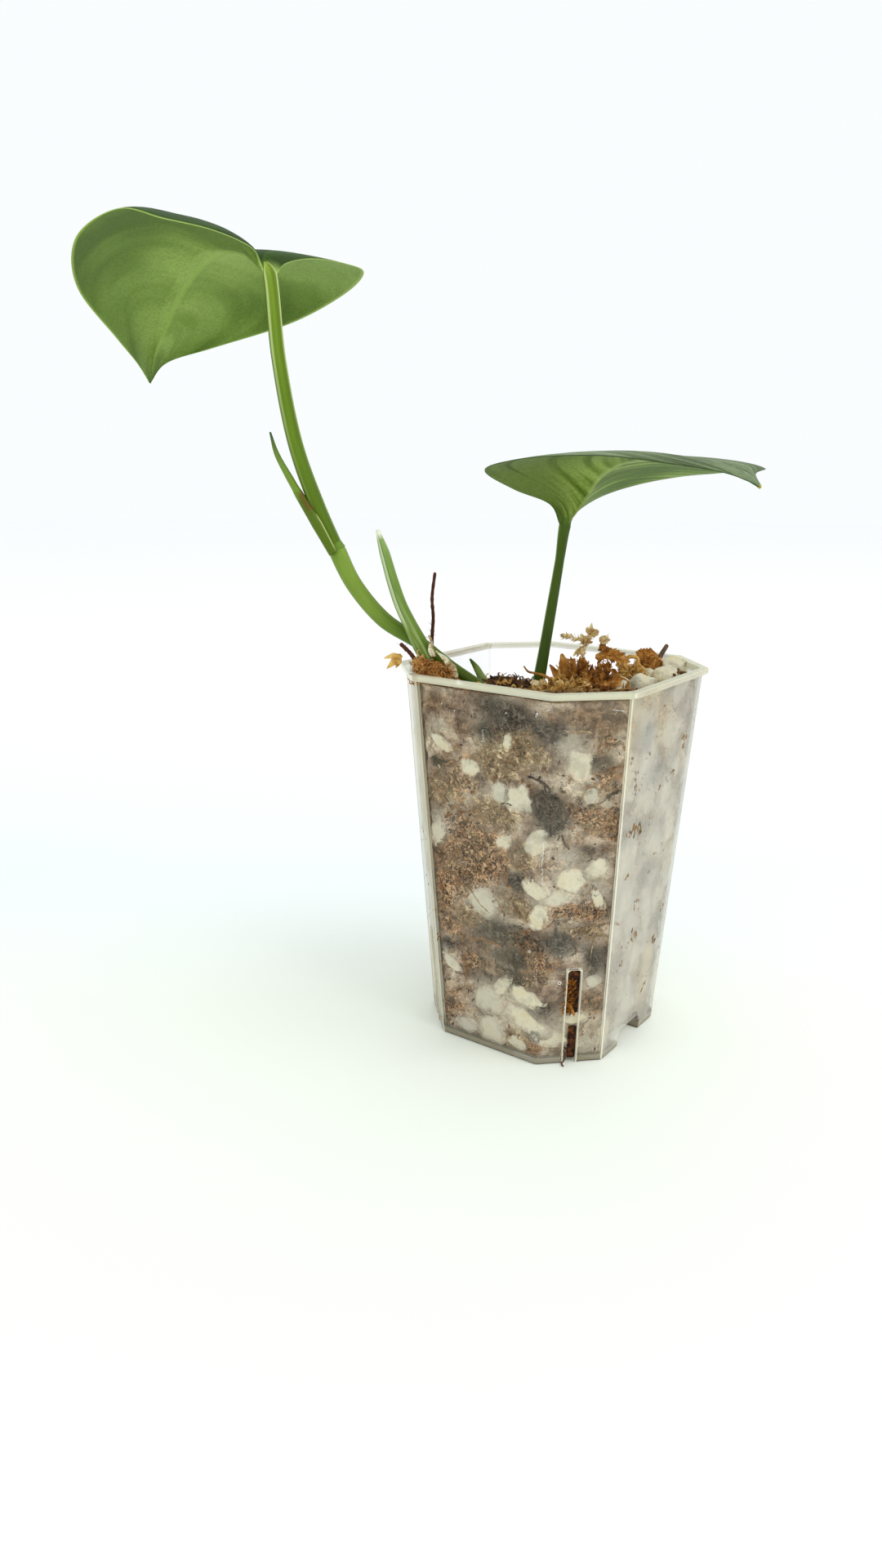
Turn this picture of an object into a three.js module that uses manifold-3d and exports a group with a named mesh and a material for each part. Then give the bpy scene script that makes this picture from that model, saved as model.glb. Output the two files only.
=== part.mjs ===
// A young moonlight scindapsus in a clear nursery pot. Millimetres, +Z up, the pot's foot at the origin.
import * as THREE from "three";
import { mergeVertices } from "three/addons/utils/BufferGeometryUtils.js";
import Module from "manifold-3d";

// Pot: a square with cut corners that narrows to its foot.
const potHeight = 100;
const topHalfWidth = 33.5;
const footHalfWidth = 27.4;
const topCornerLeg = 13.6;
const footCornerLeg = 12.6;
const wall = 0.8;
const floorThickness = 0.9;
const rimHalfWidth = 34.9;
const rimDrop = 1.5;
const slotWidth = 3.5;
const slotHeight = 27.5;
const notchWidth = 12.6;
const notchHeight = 4.8;
const notchDepth = 5;
const floorHoleRadius = 3;
const floorHoleOffset = 13;

// Fill: how far the mix stays from the pot, and how high it stands.
const seatGap = 0.3;
const mixTop = 95.2;
const mixFall = 0.1;
const mixCrest = 97.9;
const touchGap = 0.3;

// The plant is laid out in a plan turned about Z: right, away and up.
const plantTurn = THREE.MathUtils.degToRad(36);
const bladeThickness = 0.7;

const wasm = await Module();
wasm.setup();

// Solids from three.js geometry, and back.
function solidOf(geometry) {
  const bare = new THREE.BufferGeometry();
  bare.setAttribute("position", geometry.getAttribute("position").clone());
  if (geometry.index) bare.setIndex(geometry.index.clone());
  const merged = mergeVertices(bare, 1e-5);
  return new wasm.Manifold(new wasm.Mesh({
    numProp: 3,
    vertProperties: new Float32Array(merged.getAttribute("position").array),
    triVerts: new Uint32Array(merged.index.array),
  }));
}

function geometryOf(solid) {
  const mesh = solid.getMesh();
  const geometry = new THREE.BufferGeometry();
  geometry.setAttribute("position", new THREE.BufferAttribute(mesh.vertProperties, 3));
  geometry.setIndex(new THREE.BufferAttribute(mesh.triVerts, 1));
  geometry.computeVertexNormals();
  return geometry;
}

function joined(solids) {
  return solids.reduce((sum, solid) => sum.add(solid));
}

// A closed surface from points and triangles, turned to face out.
function geometryFrom(points, triangles) {
  const volumeOf = ([a, b, c]) => points[a].dot(new THREE.Vector3().crossVectors(points[b], points[c]));
  const inward = triangles.reduce((sum, triangle) => sum + volumeOf(triangle), 0) < 0;
  const facing = inward ? triangles.map(([a, b, c]) => [a, c, b]) : triangles;
  const geometry = new THREE.BufferGeometry();
  const flat = points.flatMap((p) => [p.x, p.y, p.z]);
  geometry.setAttribute("position", new THREE.Float32BufferAttribute(flat, 3));
  geometry.setIndex(facing.flat());
  return geometry;
}

// Seeded draws between 0 and 1.
function seededDraw(seed) {
  let state = seed;
  return () => {
    state = (Math.imul(state, 1664525) + 1013904223) >>> 0;
    return state / 4294967296;
  };
}

function plan(right, away, up) {
  const cosTurn = Math.cos(plantTurn);
  const sinTurn = Math.sin(plantTurn);
  return new THREE.Vector3(right * cosTurn - away * sinTurn, right * sinTurn + away * cosTurn, up);
}

function planPoints(rows) {
  return rows.map((row) => plan(...row));
}

// An octagon ring of the pot at one height.
function octagon(halfWidth, cornerLeg, height) {
  const a = halfWidth - cornerLeg;
  const w = halfWidth;
  const corners = [[-a, -w], [a, -w], [w, -a], [w, a], [a, w], [-a, w], [-w, a], [-w, -a]];
  return corners.map(([x, y]) => new THREE.Vector3(x, y, height));
}

function wallHalfWidth(height) {
  return footHalfWidth + (topHalfWidth - footHalfWidth) * height / potHeight;
}

function wallCornerLeg(height) {
  return footCornerLeg + (topCornerLeg - footCornerLeg) * height / potHeight;
}

// The pot's outline moved inward by a distance, at one height.
function insetOctagon(inset, height) {
  const legLoss = inset * (2 - Math.SQRT2);
  return octagon(wallHalfWidth(height) - inset, wallCornerLeg(height) - legLoss, height);
}

// Joins rings of points into one closed solid, with a fan at each end.
function stackRings(rings) {
  const count = rings[0].length;
  const points = rings.flat();
  const triangles = [];
  for (let ring = 0; ring + 1 < rings.length; ring += 1) {
    for (let i = 0; i < count; i += 1) {
      const next = (i + 1) % count;
      const a = ring * count + i;
      const b = ring * count + next;
      triangles.push([a, b, b + count], [a, b + count, a + count]);
    }
  }
  const middleOf = (ring) => ring.reduce((sum, p) => sum.add(p), new THREE.Vector3()).divideScalar(count);
  const bottom = points.length;
  const top = bottom + 1;
  points.push(middleOf(rings[0]), middleOf(rings[rings.length - 1]));
  const lastRing = (rings.length - 1) * count;
  for (let i = 0; i < count; i += 1) {
    const next = (i + 1) % count;
    triangles.push([bottom, next, i], [top, lastRing + i, lastRing + next]);
  }
  return geometryFrom(points, triangles);
}

function block(sizeX, sizeY, sizeZ, x, y, z) {
  return solidOf(new THREE.BoxGeometry(sizeX, sizeY, sizeZ).translate(x, y, z));
}

// The arch under a side, as an outline in width and height, pushed inward.
function notchSolid(halfWidth, height, depth) {
  const shape = new THREE.Shape();
  const shoulder = halfWidth - 1.2;
  shape.moveTo(-halfWidth, -1);
  shape.lineTo(halfWidth, -1);
  shape.lineTo(halfWidth, height * 0.4);
  shape.quadraticCurveTo(halfWidth, height, shoulder - 1, height);
  shape.lineTo(1 - shoulder, height);
  shape.quadraticCurveTo(-halfWidth, height, -halfWidth, height * 0.4);
  shape.closePath();
  const settings = { depth, bevelEnabled: false, curveSegments: 4 };
  const geometry = new THREE.ExtrudeGeometry(shape, settings);
  const basis = new THREE.Matrix4().makeBasis(
    new THREE.Vector3(0, 1, 0),
    new THREE.Vector3(0, 0, 1),
    new THREE.Vector3(1, 0, 0),
  );
  return geometry.applyMatrix4(basis);
}

function potSolid() {
  const rimLeg = wallCornerLeg(potHeight) + (rimHalfWidth - topHalfWidth) * (2 - Math.SQRT2);
  const rings = [
    insetOctagon(0, 0),
    insetOctagon(0, potHeight - rimDrop),
    octagon(rimHalfWidth, rimLeg, potHeight - rimDrop),
    octagon(rimHalfWidth, rimLeg, potHeight - 0.4),
    octagon(rimHalfWidth - 0.4, rimLeg - 0.23, potHeight),
    insetOctagon(wall, potHeight),
    insetOctagon(wall, floorThickness),
  ];
  let solid = solidOf(stackRings(rings));
  const hood = notchSolid(notchWidth / 2 + wall, notchHeight + wall, notchDepth + wall);
  const arch = notchSolid(notchWidth / 2, notchHeight, notchDepth + 10);
  for (const side of [0, Math.PI]) {
    const inner = footHalfWidth - notchDepth;
    const hoodPlaced = hood.clone().translate(inner - wall, 0, 0).rotateZ(side);
    const archPlaced = arch.clone().translate(inner, 0, 0).rotateZ(side);
    solid = solid.add(solidOf(hoodPlaced).subtract(block(80, 80, 10, 0, 0, -5)));
    solid = solid.subtract(solidOf(archPlaced));
  }
  const corner = footHalfWidth - footCornerLeg / 2;
  for (let quarter = 0; quarter < 4; quarter += 1) {
    const turn = Math.PI / 4 + quarter * Math.PI / 2;
    const slot = new THREE.BoxGeometry(9, slotWidth, slotHeight * 2).rotateZ(turn);
    slot.translate(Math.SQRT2 * corner * Math.cos(turn), Math.SQRT2 * corner * Math.sin(turn), 0);
    solid = solid.subtract(solidOf(slot));
    const hole = new THREE.CylinderGeometry(floorHoleRadius, floorHoleRadius, 6, 12).rotateX(Math.PI / 2);
    const holeTurn = quarter * Math.PI / 2;
    hole.translate(floorHoleOffset * Math.cos(holeTurn), floorHoleOffset * Math.sin(holeTurn), 0);
    solid = solid.subtract(solidOf(hole));
  }
  return solid;
}

// Height of the mix's uneven top: high at the near corner, low at the far one, banked up on the right.
function mixSurface(x, y) {
  const right = x * Math.cos(plantTurn) + y * Math.sin(plantTurn);
  const away = y * Math.cos(plantTurn) - x * Math.sin(plantTurn);
  const waves = Math.sin(x * 0.31 + 1.1) * Math.cos(y * 0.27 - 0.4) + 0.6 * Math.sin(x * 0.63 - y * 0.52);
  const slope = mixTop - mixFall * away + 0.14 * Math.max(0, right - 20);
  return Math.min(slope, mixCrest) + 0.45 * waves;
}

// A point at a share of the way round an octagon.
function alongRing(ring, share) {
  const at = share * ring.length;
  const i = Math.floor(at) % ring.length;
  return ring[i].clone().lerp(ring[(i + 1) % ring.length], at - Math.floor(at));
}

function mixSolid() {
  const around = 24;
  const levels = 9;
  const bottom = floorThickness + seatGap;
  const rings = [];
  for (let level = 0; level <= levels; level += 1) {
    const share = level / levels;
    const ring = [];
    for (let i = 0; i < around; i += 1) {
      const lump = 0.5 + 0.5 * Math.sin(i * 2.4 + level * 1.7) * Math.cos(i * 1.1 - level * 2.3);
      const brim = alongRing(insetOctagon(wall + 2 * seatGap, mixTop), i / around);
      const height = bottom + (mixSurface(brim.x, brim.y) - 0.5 - bottom) * share;
      ring.push(alongRing(insetOctagon(wall + 2 * seatGap + 0.5 * lump, height), i / around));
    }
    rings.push(ring);
  }
  for (const share of [0.9, 0.6, 0.3]) {
    const ring = [];
    for (let i = 0; i < around; i += 1) {
      const p = alongRing(insetOctagon(wall + 2 * seatGap, mixTop), i / around).multiplyScalar(share);
      p.z = mixSurface(p.x, p.y);
      ring.push(p);
    }
    rings.push(ring);
  }
  return solidOf(stackRings(rings));
}

// A frame on one of the eight walls, counted round from the one that faces -Y.
function wallPlace(face, along, up, inward) {
  const turn = (face - 3) * Math.PI / 4;
  const halfWidth = wallHalfWidth(up);
  const reach = face % 2 === 1 ? halfWidth : (2 * halfWidth - wallCornerLeg(up)) / Math.SQRT2;
  const out = reach - wall - seatGap - inward;
  const x = out * Math.cos(turn) - along * Math.sin(turn);
  const y = out * Math.sin(turn) + along * Math.cos(turn);
  return { turn, middle: new THREE.Vector3(x, y, up) };
}

// A pumice stone: a rough ball with flats, with its own width, height and depth.
function stoneGeometry({ middle, turn, width, height, depth, tilt, seed, detail, grow }) {
  const draw = seededDraw(seed);
  const ball = new THREE.BufferGeometry();
  ball.setAttribute("position", new THREE.IcosahedronGeometry(1, detail).getAttribute("position"));
  const geometry = mergeVertices(ball, 1e-5);
  const position = geometry.getAttribute("position");
  for (let i = 0; i < position.count; i += 1) {
    const swell = 0.82 + 0.18 * draw();
    position.setXYZ(
      i,
      position.getX(i) * (swell * depth / 2 + grow),
      position.getY(i) * (swell * width / 2 + grow),
      position.getZ(i) * (swell * height / 2 + grow),
    );
  }
  geometry.rotateX(tilt);
  geometry.rotateZ(turn);
  geometry.translate(middle.x, middle.y, middle.z);
  return geometry;
}

// A stone at the wall lies against it: its middle is this share of its depth inside.
const stoneSink = 0.2;
// Stones that show through the two near walls: wall, along, up, width, height and tilt in degrees.
const stonesInView = [
  [1, -13, 83, 6.5, 3.2, -30], [1, -4, 78, 5.6, 3.6, 0], [1, 10, 73, 8, 7, 20], [1, 4, 75, 4.5, 4, 0],
  [2, -2, 82, 5.3, 7.4, 20], [1, 7, 86, 2.6, 3.6, 0], [1, 5, 60, 4.8, 3.6, 30], [1, 14.5, 61, 4.6, 8, -30],
  [2, 4, 55, 5.6, 4.4, 15], [2, 1, 75, 3.6, 4.2, 0], [1, -15, 58, 4, 6.6, -20], [1, -1, 43, 7.6, 7.2, 10],
  [1, 14.5, 50, 6, 4.4, -10], [2, -2, 52, 6.2, 5.6, 10], [1, 15, 43, 4.4, 6.6, -35], [2, -6, 48, 5.6, 3.6, 10],
  [2, 4.5, 47, 3.2, 5.6, 30], [1, -1, 14, 8.6, 7.6, 0], [1, 4, 20, 3.6, 6.4, -40], [1, 12, 19, 9.4, 4.2, -12],
  [1, 10, 12, 10.4, 4.8, -25], [1, 0, 5.5, 7.6, 7.4, 10], [2, -5, 6.5, 8.2, 4.6, 0], [2, 1, 13, 6.6, 3.8, 0],
  [1, 8, 4, 5, 3, -15], [1, -11, 22, 5.4, 2.8, -10], [2, 6, 25, 3.6, 3.2, 0], [1, -8, 5.5, 7, 4.8, 0],
];
// How many more stones stand at each other wall, from the right side round to the left corner.
const stonesElsewhere = [[3, 7], [4, 3], [5, 6], [6, 3], [7, 6], [8, 3]];
// Stones that lie on top: right, away, up and width.
const stonesOnTop = [[17.5, -2, 97.2, 5], [22.8, -4.6, 97.2, 6.4], [28.5, 3.5, 97, 5], [31.5, 9, 97, 5.4],
  [25.5, 6.5, 96.2, 5], [2, 8, 95, 5], [12, 12, 94.6, 5.5], [-10, 14, 94.3, 5]];

// Stones seen through the wall or on top, each a solid of its own.
function seenStones() {
  const stones = stonesInView.map(([face, along, up, width, height, tilt], i) => {
    const depth = 0.4 * (width + height);
    const place = wallPlace(face, along, up, depth * stoneSink);
    const size = { width, height, depth, tilt: THREE.MathUtils.degToRad(tilt) };
    return { name: `pumice_wall_${i + 1}`, ...place, ...size, seed: 11 + i, detail: 0 };
  });
  stonesOnTop.forEach(([right, away, up, width], i) => {
    const size = { width, height: width * 0.8, depth: width * 0.9, tilt: 0.3 };
    const middle = plan(right, away, up);
    stones.push({ name: `pumice_top_${i + 1}`, middle, turn: i, ...size, seed: 200 + i, detail: 0 });
  });
  return stones;
}

// Stones at the other walls, which stand out of the mix as lumps of it.
function hiddenStones() {
  const stones = [];
  const draw = seededDraw(7);
  for (const [face, count] of stonesElsewhere) {
    for (let i = 0; i < count; i += 1) {
      const width = 4.5 + 4 * draw();
      const height = 4 + 3 * draw();
      const up = 12 + 76 * (i + draw() * 0.8) / count;
      const halfRun = face % 2 === 1 ? 13 : 2.8;
      const along = halfRun * (2 * draw() - 1);
      const depth = 0.4 * (width + height);
      const place = wallPlace(face, along, up, depth * stoneSink);
      stones.push({ ...place, width, height, depth, tilt: draw() - 0.5, seed: 60 + stones.length, detail: 0 });
    }
  }
  return stones;
}

function stoneSolid(stone, grow) {
  return solidOf(stoneGeometry({ ...stone, grow }));
}

// The largest body of a cut solid, without scraps.
function mainBody(solid) {
  return solid.decompose().reduce((best, body) => (body.volume() > best.volume() ? body : best));
}

// The room inside the pot's walls and above its floor, up to a height.
function potRoom(bottom, top) {
  return solidOf(stackRings([insetOctagon(wall + seatGap, bottom), insetOctagon(wall + seatGap, top)]));
}

// A stalk swept along a curve: radii at the curve's points, and a channel on the side that faces us.
function stalkSolid({ path, radii, sides = 8, channel = 0, grow = 0, lookAt = [0.35, -0.94, 0], steps = 3 }) {
  const curve = new THREE.CatmullRomCurve3(planPoints(path));
  const spans = path.length - 1;
  const count = spans * steps;
  const front = plan(...lookAt).normalize();
  const rings = [];
  for (let i = 0; i <= count; i += 1) {
    const t = i / count;
    const at = Math.min(Math.floor(t * spans), spans - 1);
    const radius = THREE.MathUtils.lerp(radii[at], radii[at + 1], t * spans - at) + grow;
    const middle = curve.getPoint(t);
    const tangent = curve.getTangent(t);
    if (i === 0) middle.addScaledVector(tangent, -grow);
    if (i === count) middle.addScaledVector(tangent, grow);
    const across = front.clone().addScaledVector(tangent, -front.dot(tangent)).normalize();
    const side = new THREE.Vector3().crossVectors(tangent, across);
    const ring = [];
    for (let k = 0; k < sides; k += 1) {
      const angle = k / sides * 2 * Math.PI;
      const dip = 1 - channel * Math.max(0, Math.cos(angle * 1.5)) * (Math.cos(angle) > 0 ? 1 : 0);
      const p = middle.clone().addScaledVector(across, radius * dip * Math.cos(angle));
      ring.push(p.addScaledVector(side, radius * dip * Math.sin(angle)));
    }
    rings.push(ring);
  }
  return solidOf(stackRings(rings));
}

// The vine and its shoots, as paths of right, away and up, with a radius at each point.
const stem = {
  path: [[-8, -4, 87], [-16.5, -4, 93], [-27, -4, 100], [-35.5, -4, 106.5], [-44, -4, 112],
    [-51.5, -4, 121], [-55.5, -3, 129], [-56, -3, 130.2]],
  radii: [1.5, 1.55, 1.65, 1.85, 2.05, 2.1, 2.2, 2.1],
};
const largePetiole = {
  path: [[-56.1, -3, 130.6], [-60.5, -3, 140.5], [-65.5, -2, 155], [-69, -1, 174.5], [-70.6, 0, 193.6]],
  radii: [2.1, 2, 1.85, 1.75, 1.7],
  channel: 0.4,
  sides: 12,
};
const upperShoot = {
  path: [[-57.5, -6.1, 129.5], [-60.9, -5.6, 136.5], [-63.6, -4, 141], [-66.3, -2.5, 146.2], [-71.3, -1.5, 157]],
  radii: [0.6, 0.95, 0.85, 0.75, 0.35],
};
const rolledLeaf = {
  path: [[-32.6, -8.3, 102.6], [-34.5, -8, 106.2], [-37, -7.6, 111], [-39.5, -7.4, 116.2], [-41.5, -7, 122],
    [-43.5, -6.5, 129], [-45.1, -6, 134]],
  radii: [2, 2.1, 1.75, 1.6, 1.5, 1.3, 0.6],
};
const smallShoot = {
  path: [[-14.5, 1, 90], [-16.5, 1, 93], [-18.4, 1, 96], [-20, 1, 98.8], [-21.6, 1, 101]],
  radii: [1, 1.1, 1.1, 0.85, 0.35],
};
const smallPetiole = {
  path: [[-5, -6, 88], [-4.4, -6, 94], [-2.7, -5.6, 106], [-1.1, -5.2, 117], [0.4, -4.6, 127.5], [1.4, -4.1, 136]],
  radii: [1.6, 1.65, 1.4, 1.3, 1.15, 1.25],
};
const twigUpright = {
  path: [[-31.2, 0.8, 92], [-31.4, 0.8, 105], [-31.6, 0.6, 114], [-31, 0.4, 123.5]],
  radii: [0.5, 0.5, 0.45, 0.45],
  sides: 6,
};
const twigLeaning = {
  path: [[-32.6, -7.6, 92], [-35.4, -8.8, 100], [-39.6, -10, 106.5]],
  radii: [0.6, 0.6, 0.6],
  sides: 6,
};
const stickRight = {
  path: [[28, 13, 94], [31, 15.5, 99.5], [33.2, 18, 102.2]],
  radii: [0.7, 0.7, 0.6],
  sides: 6,
};
const rootCurl = {
  path: [[-0.5, -9.6, 94], [-1.6, -9.3, 97.4], [-4.2, -8.2, 97.8], [-6.4, -6.9, 98.6], [-7.4, -6.2, 99.6]],
  radii: [0.4, 0.4, 0.4, 0.4, 0.35],
  sides: 6,
};
const drySheath = {
  path: [[-26.8, -11.8, 98.6], [-28, -11.6, 101.6], [-29.6, -11.5, 104.6], [-30.4, -11.4, 107.6]],
  width: [1.2, 1.4, 1.2, 0.5],
  thickness: 0.6,
};

// A papery strip: a flat section swept along its path.
function stripSolid({ path, width, thickness }, grow = 0) {
  const curve = new THREE.CatmullRomCurve3(planPoints(path));
  const spans = path.length - 1;
  const count = spans * 3;
  const depth = plan(0, thickness / 2 + grow, 0);
  const rings = [];
  for (let i = 0; i <= count; i += 1) {
    const t = i / count;
    const at = Math.min(Math.floor(t * spans), spans - 1);
    const half = THREE.MathUtils.lerp(width[at], width[at + 1], t * spans - at) + grow;
    const tangent = curve.getTangent(t);
    const side = new THREE.Vector3().crossVectors(tangent, depth).normalize();
    const middle = curve.getPoint(t);
    const bow = plan(0, 0.3, 0);
    rings.push([
      middle.clone().addScaledVector(side, half).sub(depth).add(bow),
      middle.clone().sub(depth),
      middle.clone().addScaledVector(side, -half).sub(depth).add(bow),
      middle.clone().addScaledVector(side, -half).add(depth).add(bow),
      middle.clone().add(depth),
      middle.clone().addScaledVector(side, half).add(depth).add(bow),
    ]);
  }
  return solidOf(stackRings(rings));
}

// Leaf blades: midrib and both margins at ten stations from petiole to tip, in right, away and up,
// and how far each half arches above the straight line between them.
const largeBlade = {
  midrib: [[-71.5, 0, 193.5], [-75, 4, 197.5], [-79, 9, 200], [-86.5, 18, 201], [-94.5, 30, 199],
    [-102, 42, 194.5], [-108.5, 53, 188.5], [-114.5, 62, 181.5], [-117, 66, 177], [-118.5, 69, 173.5]],
  left: [[-72.5, -1, 195], [-74, -4, 198.5], [-81, -13, 200.5], [-90.5, -20, 201.5], [-100, -22, 203],
    [-112, -14, 198.5], [-119.5, 9, 191.5], [-118.5, 36, 183], [-118, 54, 178], [-118.5, 69, 173.5]],
  right: [[-69, 0, 193.5], [-67, 4, 196.5], [-61.5, 13, 199], [-54, 23, 199.5], [-50.5, 34, 199],
    [-57.5, 48, 195.5], [-74, 60, 189.5], [-98.5, 68, 183.5], [-113, 70, 179.5], [-118.5, 69, 173.5]],
  leftArch: [0, 1, 2.2, 3.6, 4.2, 4.2, 4.2, 3, 1, 0],
  rightArch: [0, 1.2, 0.8, 0.9, 1.6, 2.6, 3, 2.4, 0.8, 0],
};
const smallBlade = {
  midrib: [[1.5, -4, 136], [3, -7, 138.5], [5.5, -12, 143], [8, -18, 148], [12, -25, 151],
    [17.5, -34, 152], [23.5, -43, 151.5], [29, -51, 150], [32, -56, 148], [34, -60, 146]],
  left: [[2.5, -3, 134.5], [4.5, 0, 138.5], [11.5, 5, 142.5], [21.5, 8, 145.5], [31.5, 5, 147.5],
    [39.5, -4, 148.5], [44, -16, 149.5], [43, -30, 149.5], [36.5, -46, 148.5], [34, -60, 146]],
  right: [[0, -5, 136], [-3, -8, 141], [-12, -13, 144.5], [-19.5, -24, 149], [-11, -37, 151.5],
    [3.5, -49, 152], [16, -57, 150.5], [25.5, -60, 149], [30.5, -60.5, 147.5], [34, -60, 146]],
  leftArch: [0, 0.4, 0.6, 0.9, 1, 1, 0.8, 0.5, 0.2, 0],
  rightArch: [0, 0.6, 0.9, 1, 1, 0.9, 0.7, 0.5, 0.2, 0],
};
const archPlace = 0.55;

function bladeSolid({ midrib, left, right, leftArch, rightArch }) {
  const rowsPerStation = 3;
  const columns = 4;
  const spans = midrib.length - 1;
  const rowCount = spans * rowsPerStation;
  const lastShare = 0.985;
  const curveOf = (rows) => new THREE.CatmullRomCurve3(planPoints(rows), false, "catmullrom", 0.5);
  const shoulderOf = (margin, arch) => midrib.map((m, i) => [
    m[0] + (margin[i][0] - m[0]) * archPlace,
    m[1] + (margin[i][1] - m[1]) * archPlace,
    m[2] + (margin[i][2] - m[2]) * archPlace + arch[i],
  ]);
  const ribCurve = curveOf(midrib);
  const halves = [[curveOf(left), curveOf(shoulderOf(left, leftArch))],
    [curveOf(right), curveOf(shoulderOf(right, rightArch))]];
  const acrossRow = (t, share, [margin, shoulder]) => {
    const c = archPlace;
    const atRib = (share - c) * (share - 1) / c;
    const atShoulder = share * (share - 1) / (c * (c - 1));
    const atMargin = share * (share - c) / (1 - c);
    const p = ribCurve.getPoint(t).multiplyScalar(atRib);
    p.addScaledVector(shoulder.getPoint(t), atShoulder);
    return p.addScaledVector(margin.getPoint(t), atMargin);
  };
  const grid = [];
  for (let row = 0; row <= rowCount; row += 1) {
    const t = lastShare * row / rowCount;
    const line = [];
    for (let column = -columns; column <= columns; column += 1) {
      line.push(acrossRow(t, Math.abs(column) / columns, halves[column < 0 ? 0 : 1]));
    }
    grid.push(line);
  }
  const width = 2 * columns + 1;
  const tip = ribCurve.getPoint(1);
  const normalAt = (row, column) => {
    const down = grid[Math.min(row + 1, rowCount)][column].clone().sub(grid[Math.max(row - 1, 0)][column]);
    const over = grid[row][Math.min(column + 1, width - 1)].clone().sub(grid[row][Math.max(column - 1, 0)]);
    return down.cross(over).normalize();
  };
  const points = [];
  for (const side of [1, -1]) {
    grid.forEach((line, row) => line.forEach((p, column) => {
      points.push(p.clone().addScaledVector(normalAt(row, column), side * bladeThickness / 2));
    }));
    points.push(tip.clone().addScaledVector(normalAt(rowCount, columns), side * bladeThickness / 2));
  }
  const sheet = grid.length * width + 1;
  const index = (side, row, column) => side * sheet + row * width + column;
  const triangles = [];
  for (const side of [0, 1]) {
    const facing = (a, b, c) => triangles.push(side === 0 ? [a, b, c] : [a, c, b]);
    for (let row = 0; row < rowCount; row += 1) {
      for (let column = 0; column + 1 < width; column += 1) {
        const a = index(side, row, column);
        const b = index(side, row, column + 1);
        facing(a, b + width, b);
        facing(a, a + width, b + width);
      }
    }
    for (let column = 0; column + 1 < width; column += 1) {
      const a = index(side, rowCount, column);
      facing(a, side * sheet + sheet - 1, a + 1);
    }
  }
  const rimLoop = [];
  for (let column = 0; column < width; column += 1) rimLoop.push(index(0, 0, column));
  for (let row = 1; row <= rowCount; row += 1) rimLoop.push(index(0, row, width - 1));
  rimLoop.push(sheet - 1);
  for (let row = rowCount; row > 0; row -= 1) rimLoop.push(index(0, row, 0));
  rimLoop.forEach((a, i) => {
    const b = rimLoop[(i + 1) % rimLoop.length];
    triangles.push([a, b, b + sheet], [a, b + sheet, a + sheet]);
  });
  return solidOf(geometryFrom(points, triangles));
}

// A moss leaflet: a flat lozenge with its root and tip drawn out.
function leafletSolid(root, direction, flat, length, halfWidth) {
  const along = direction.clone().normalize();
  const side = new THREE.Vector3().crossVectors(along, flat).normalize();
  const lift = new THREE.Vector3().crossVectors(side, along);
  const belly = root.clone().addScaledVector(along, length * 0.45);
  const points = [
    root,
    root.clone().addScaledVector(along, length),
    belly.clone().addScaledVector(side, halfWidth),
    belly.clone().addScaledVector(side, -halfWidth),
    belly.clone().addScaledVector(lift, 0.4),
    belly.clone().addScaledVector(lift, -0.4),
  ];
  const triangles = [[0, 2, 4], [0, 4, 3], [0, 3, 5], [0, 5, 2], [1, 4, 2], [1, 3, 4], [1, 5, 3], [1, 2, 5]];
  return solidOf(geometryFrom(points, triangles));
}

// A clump of dried moss: a rough core with leaflets sunk in all over its upper side.
function mossClump({ seed, middle, radii, leaflets, length }) {
  const draw = seededDraw(seed);
  const heart = plan(...middle);
  const ball = new THREE.BufferGeometry();
  ball.setAttribute("position", new THREE.IcosahedronGeometry(1, 0).getAttribute("position"));
  const core = mergeVertices(ball, 1e-5);
  const position = core.getAttribute("position");
  for (let i = 0; i < position.count; i += 1) {
    const swell = 0.8 + 0.3 * draw();
    position.setXYZ(i, position.getX(i) * swell, position.getY(i) * swell, position.getZ(i) * swell);
  }
  core.scale(...radii);
  core.rotateZ(plantTurn);
  core.translate(heart.x, heart.y, heart.z);
  let solid = solidOf(core);
  for (let i = 0; i < leaflets; i += 1) {
    const turn = draw() * 2 * Math.PI;
    const rise = -0.1 + 1.1 * draw();
    const flat = Math.sqrt(Math.max(0, 1 - rise * rise));
    const out = new THREE.Vector3(Math.cos(turn) * flat, Math.sin(turn) * flat, rise);
    const onCore = new THREE.Vector3(out.x * radii[0], out.y * radii[1], out.z * radii[2]);
    onCore.applyAxisAngle(new THREE.Vector3(0, 0, 1), plantTurn);
    const root = heart.clone().addScaledVector(onCore, 0.55);
    const lean = new THREE.Vector3(draw() - 0.5, draw() - 0.5, draw() - 0.4);
    const direction = onCore.clone().normalize().addScaledVector(lean, 0.9);
    const size = length * (0.7 + 0.6 * draw()) + 0.45 * onCore.length();
    const flatTo = new THREE.Vector3(draw() - 0.5, draw() - 0.5, draw() - 0.5);
    solid = solid.add(leafletSolid(root, direction, flatTo, size, 0.6 + 0.5 * draw()));
  }
  return solid;
}

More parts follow.
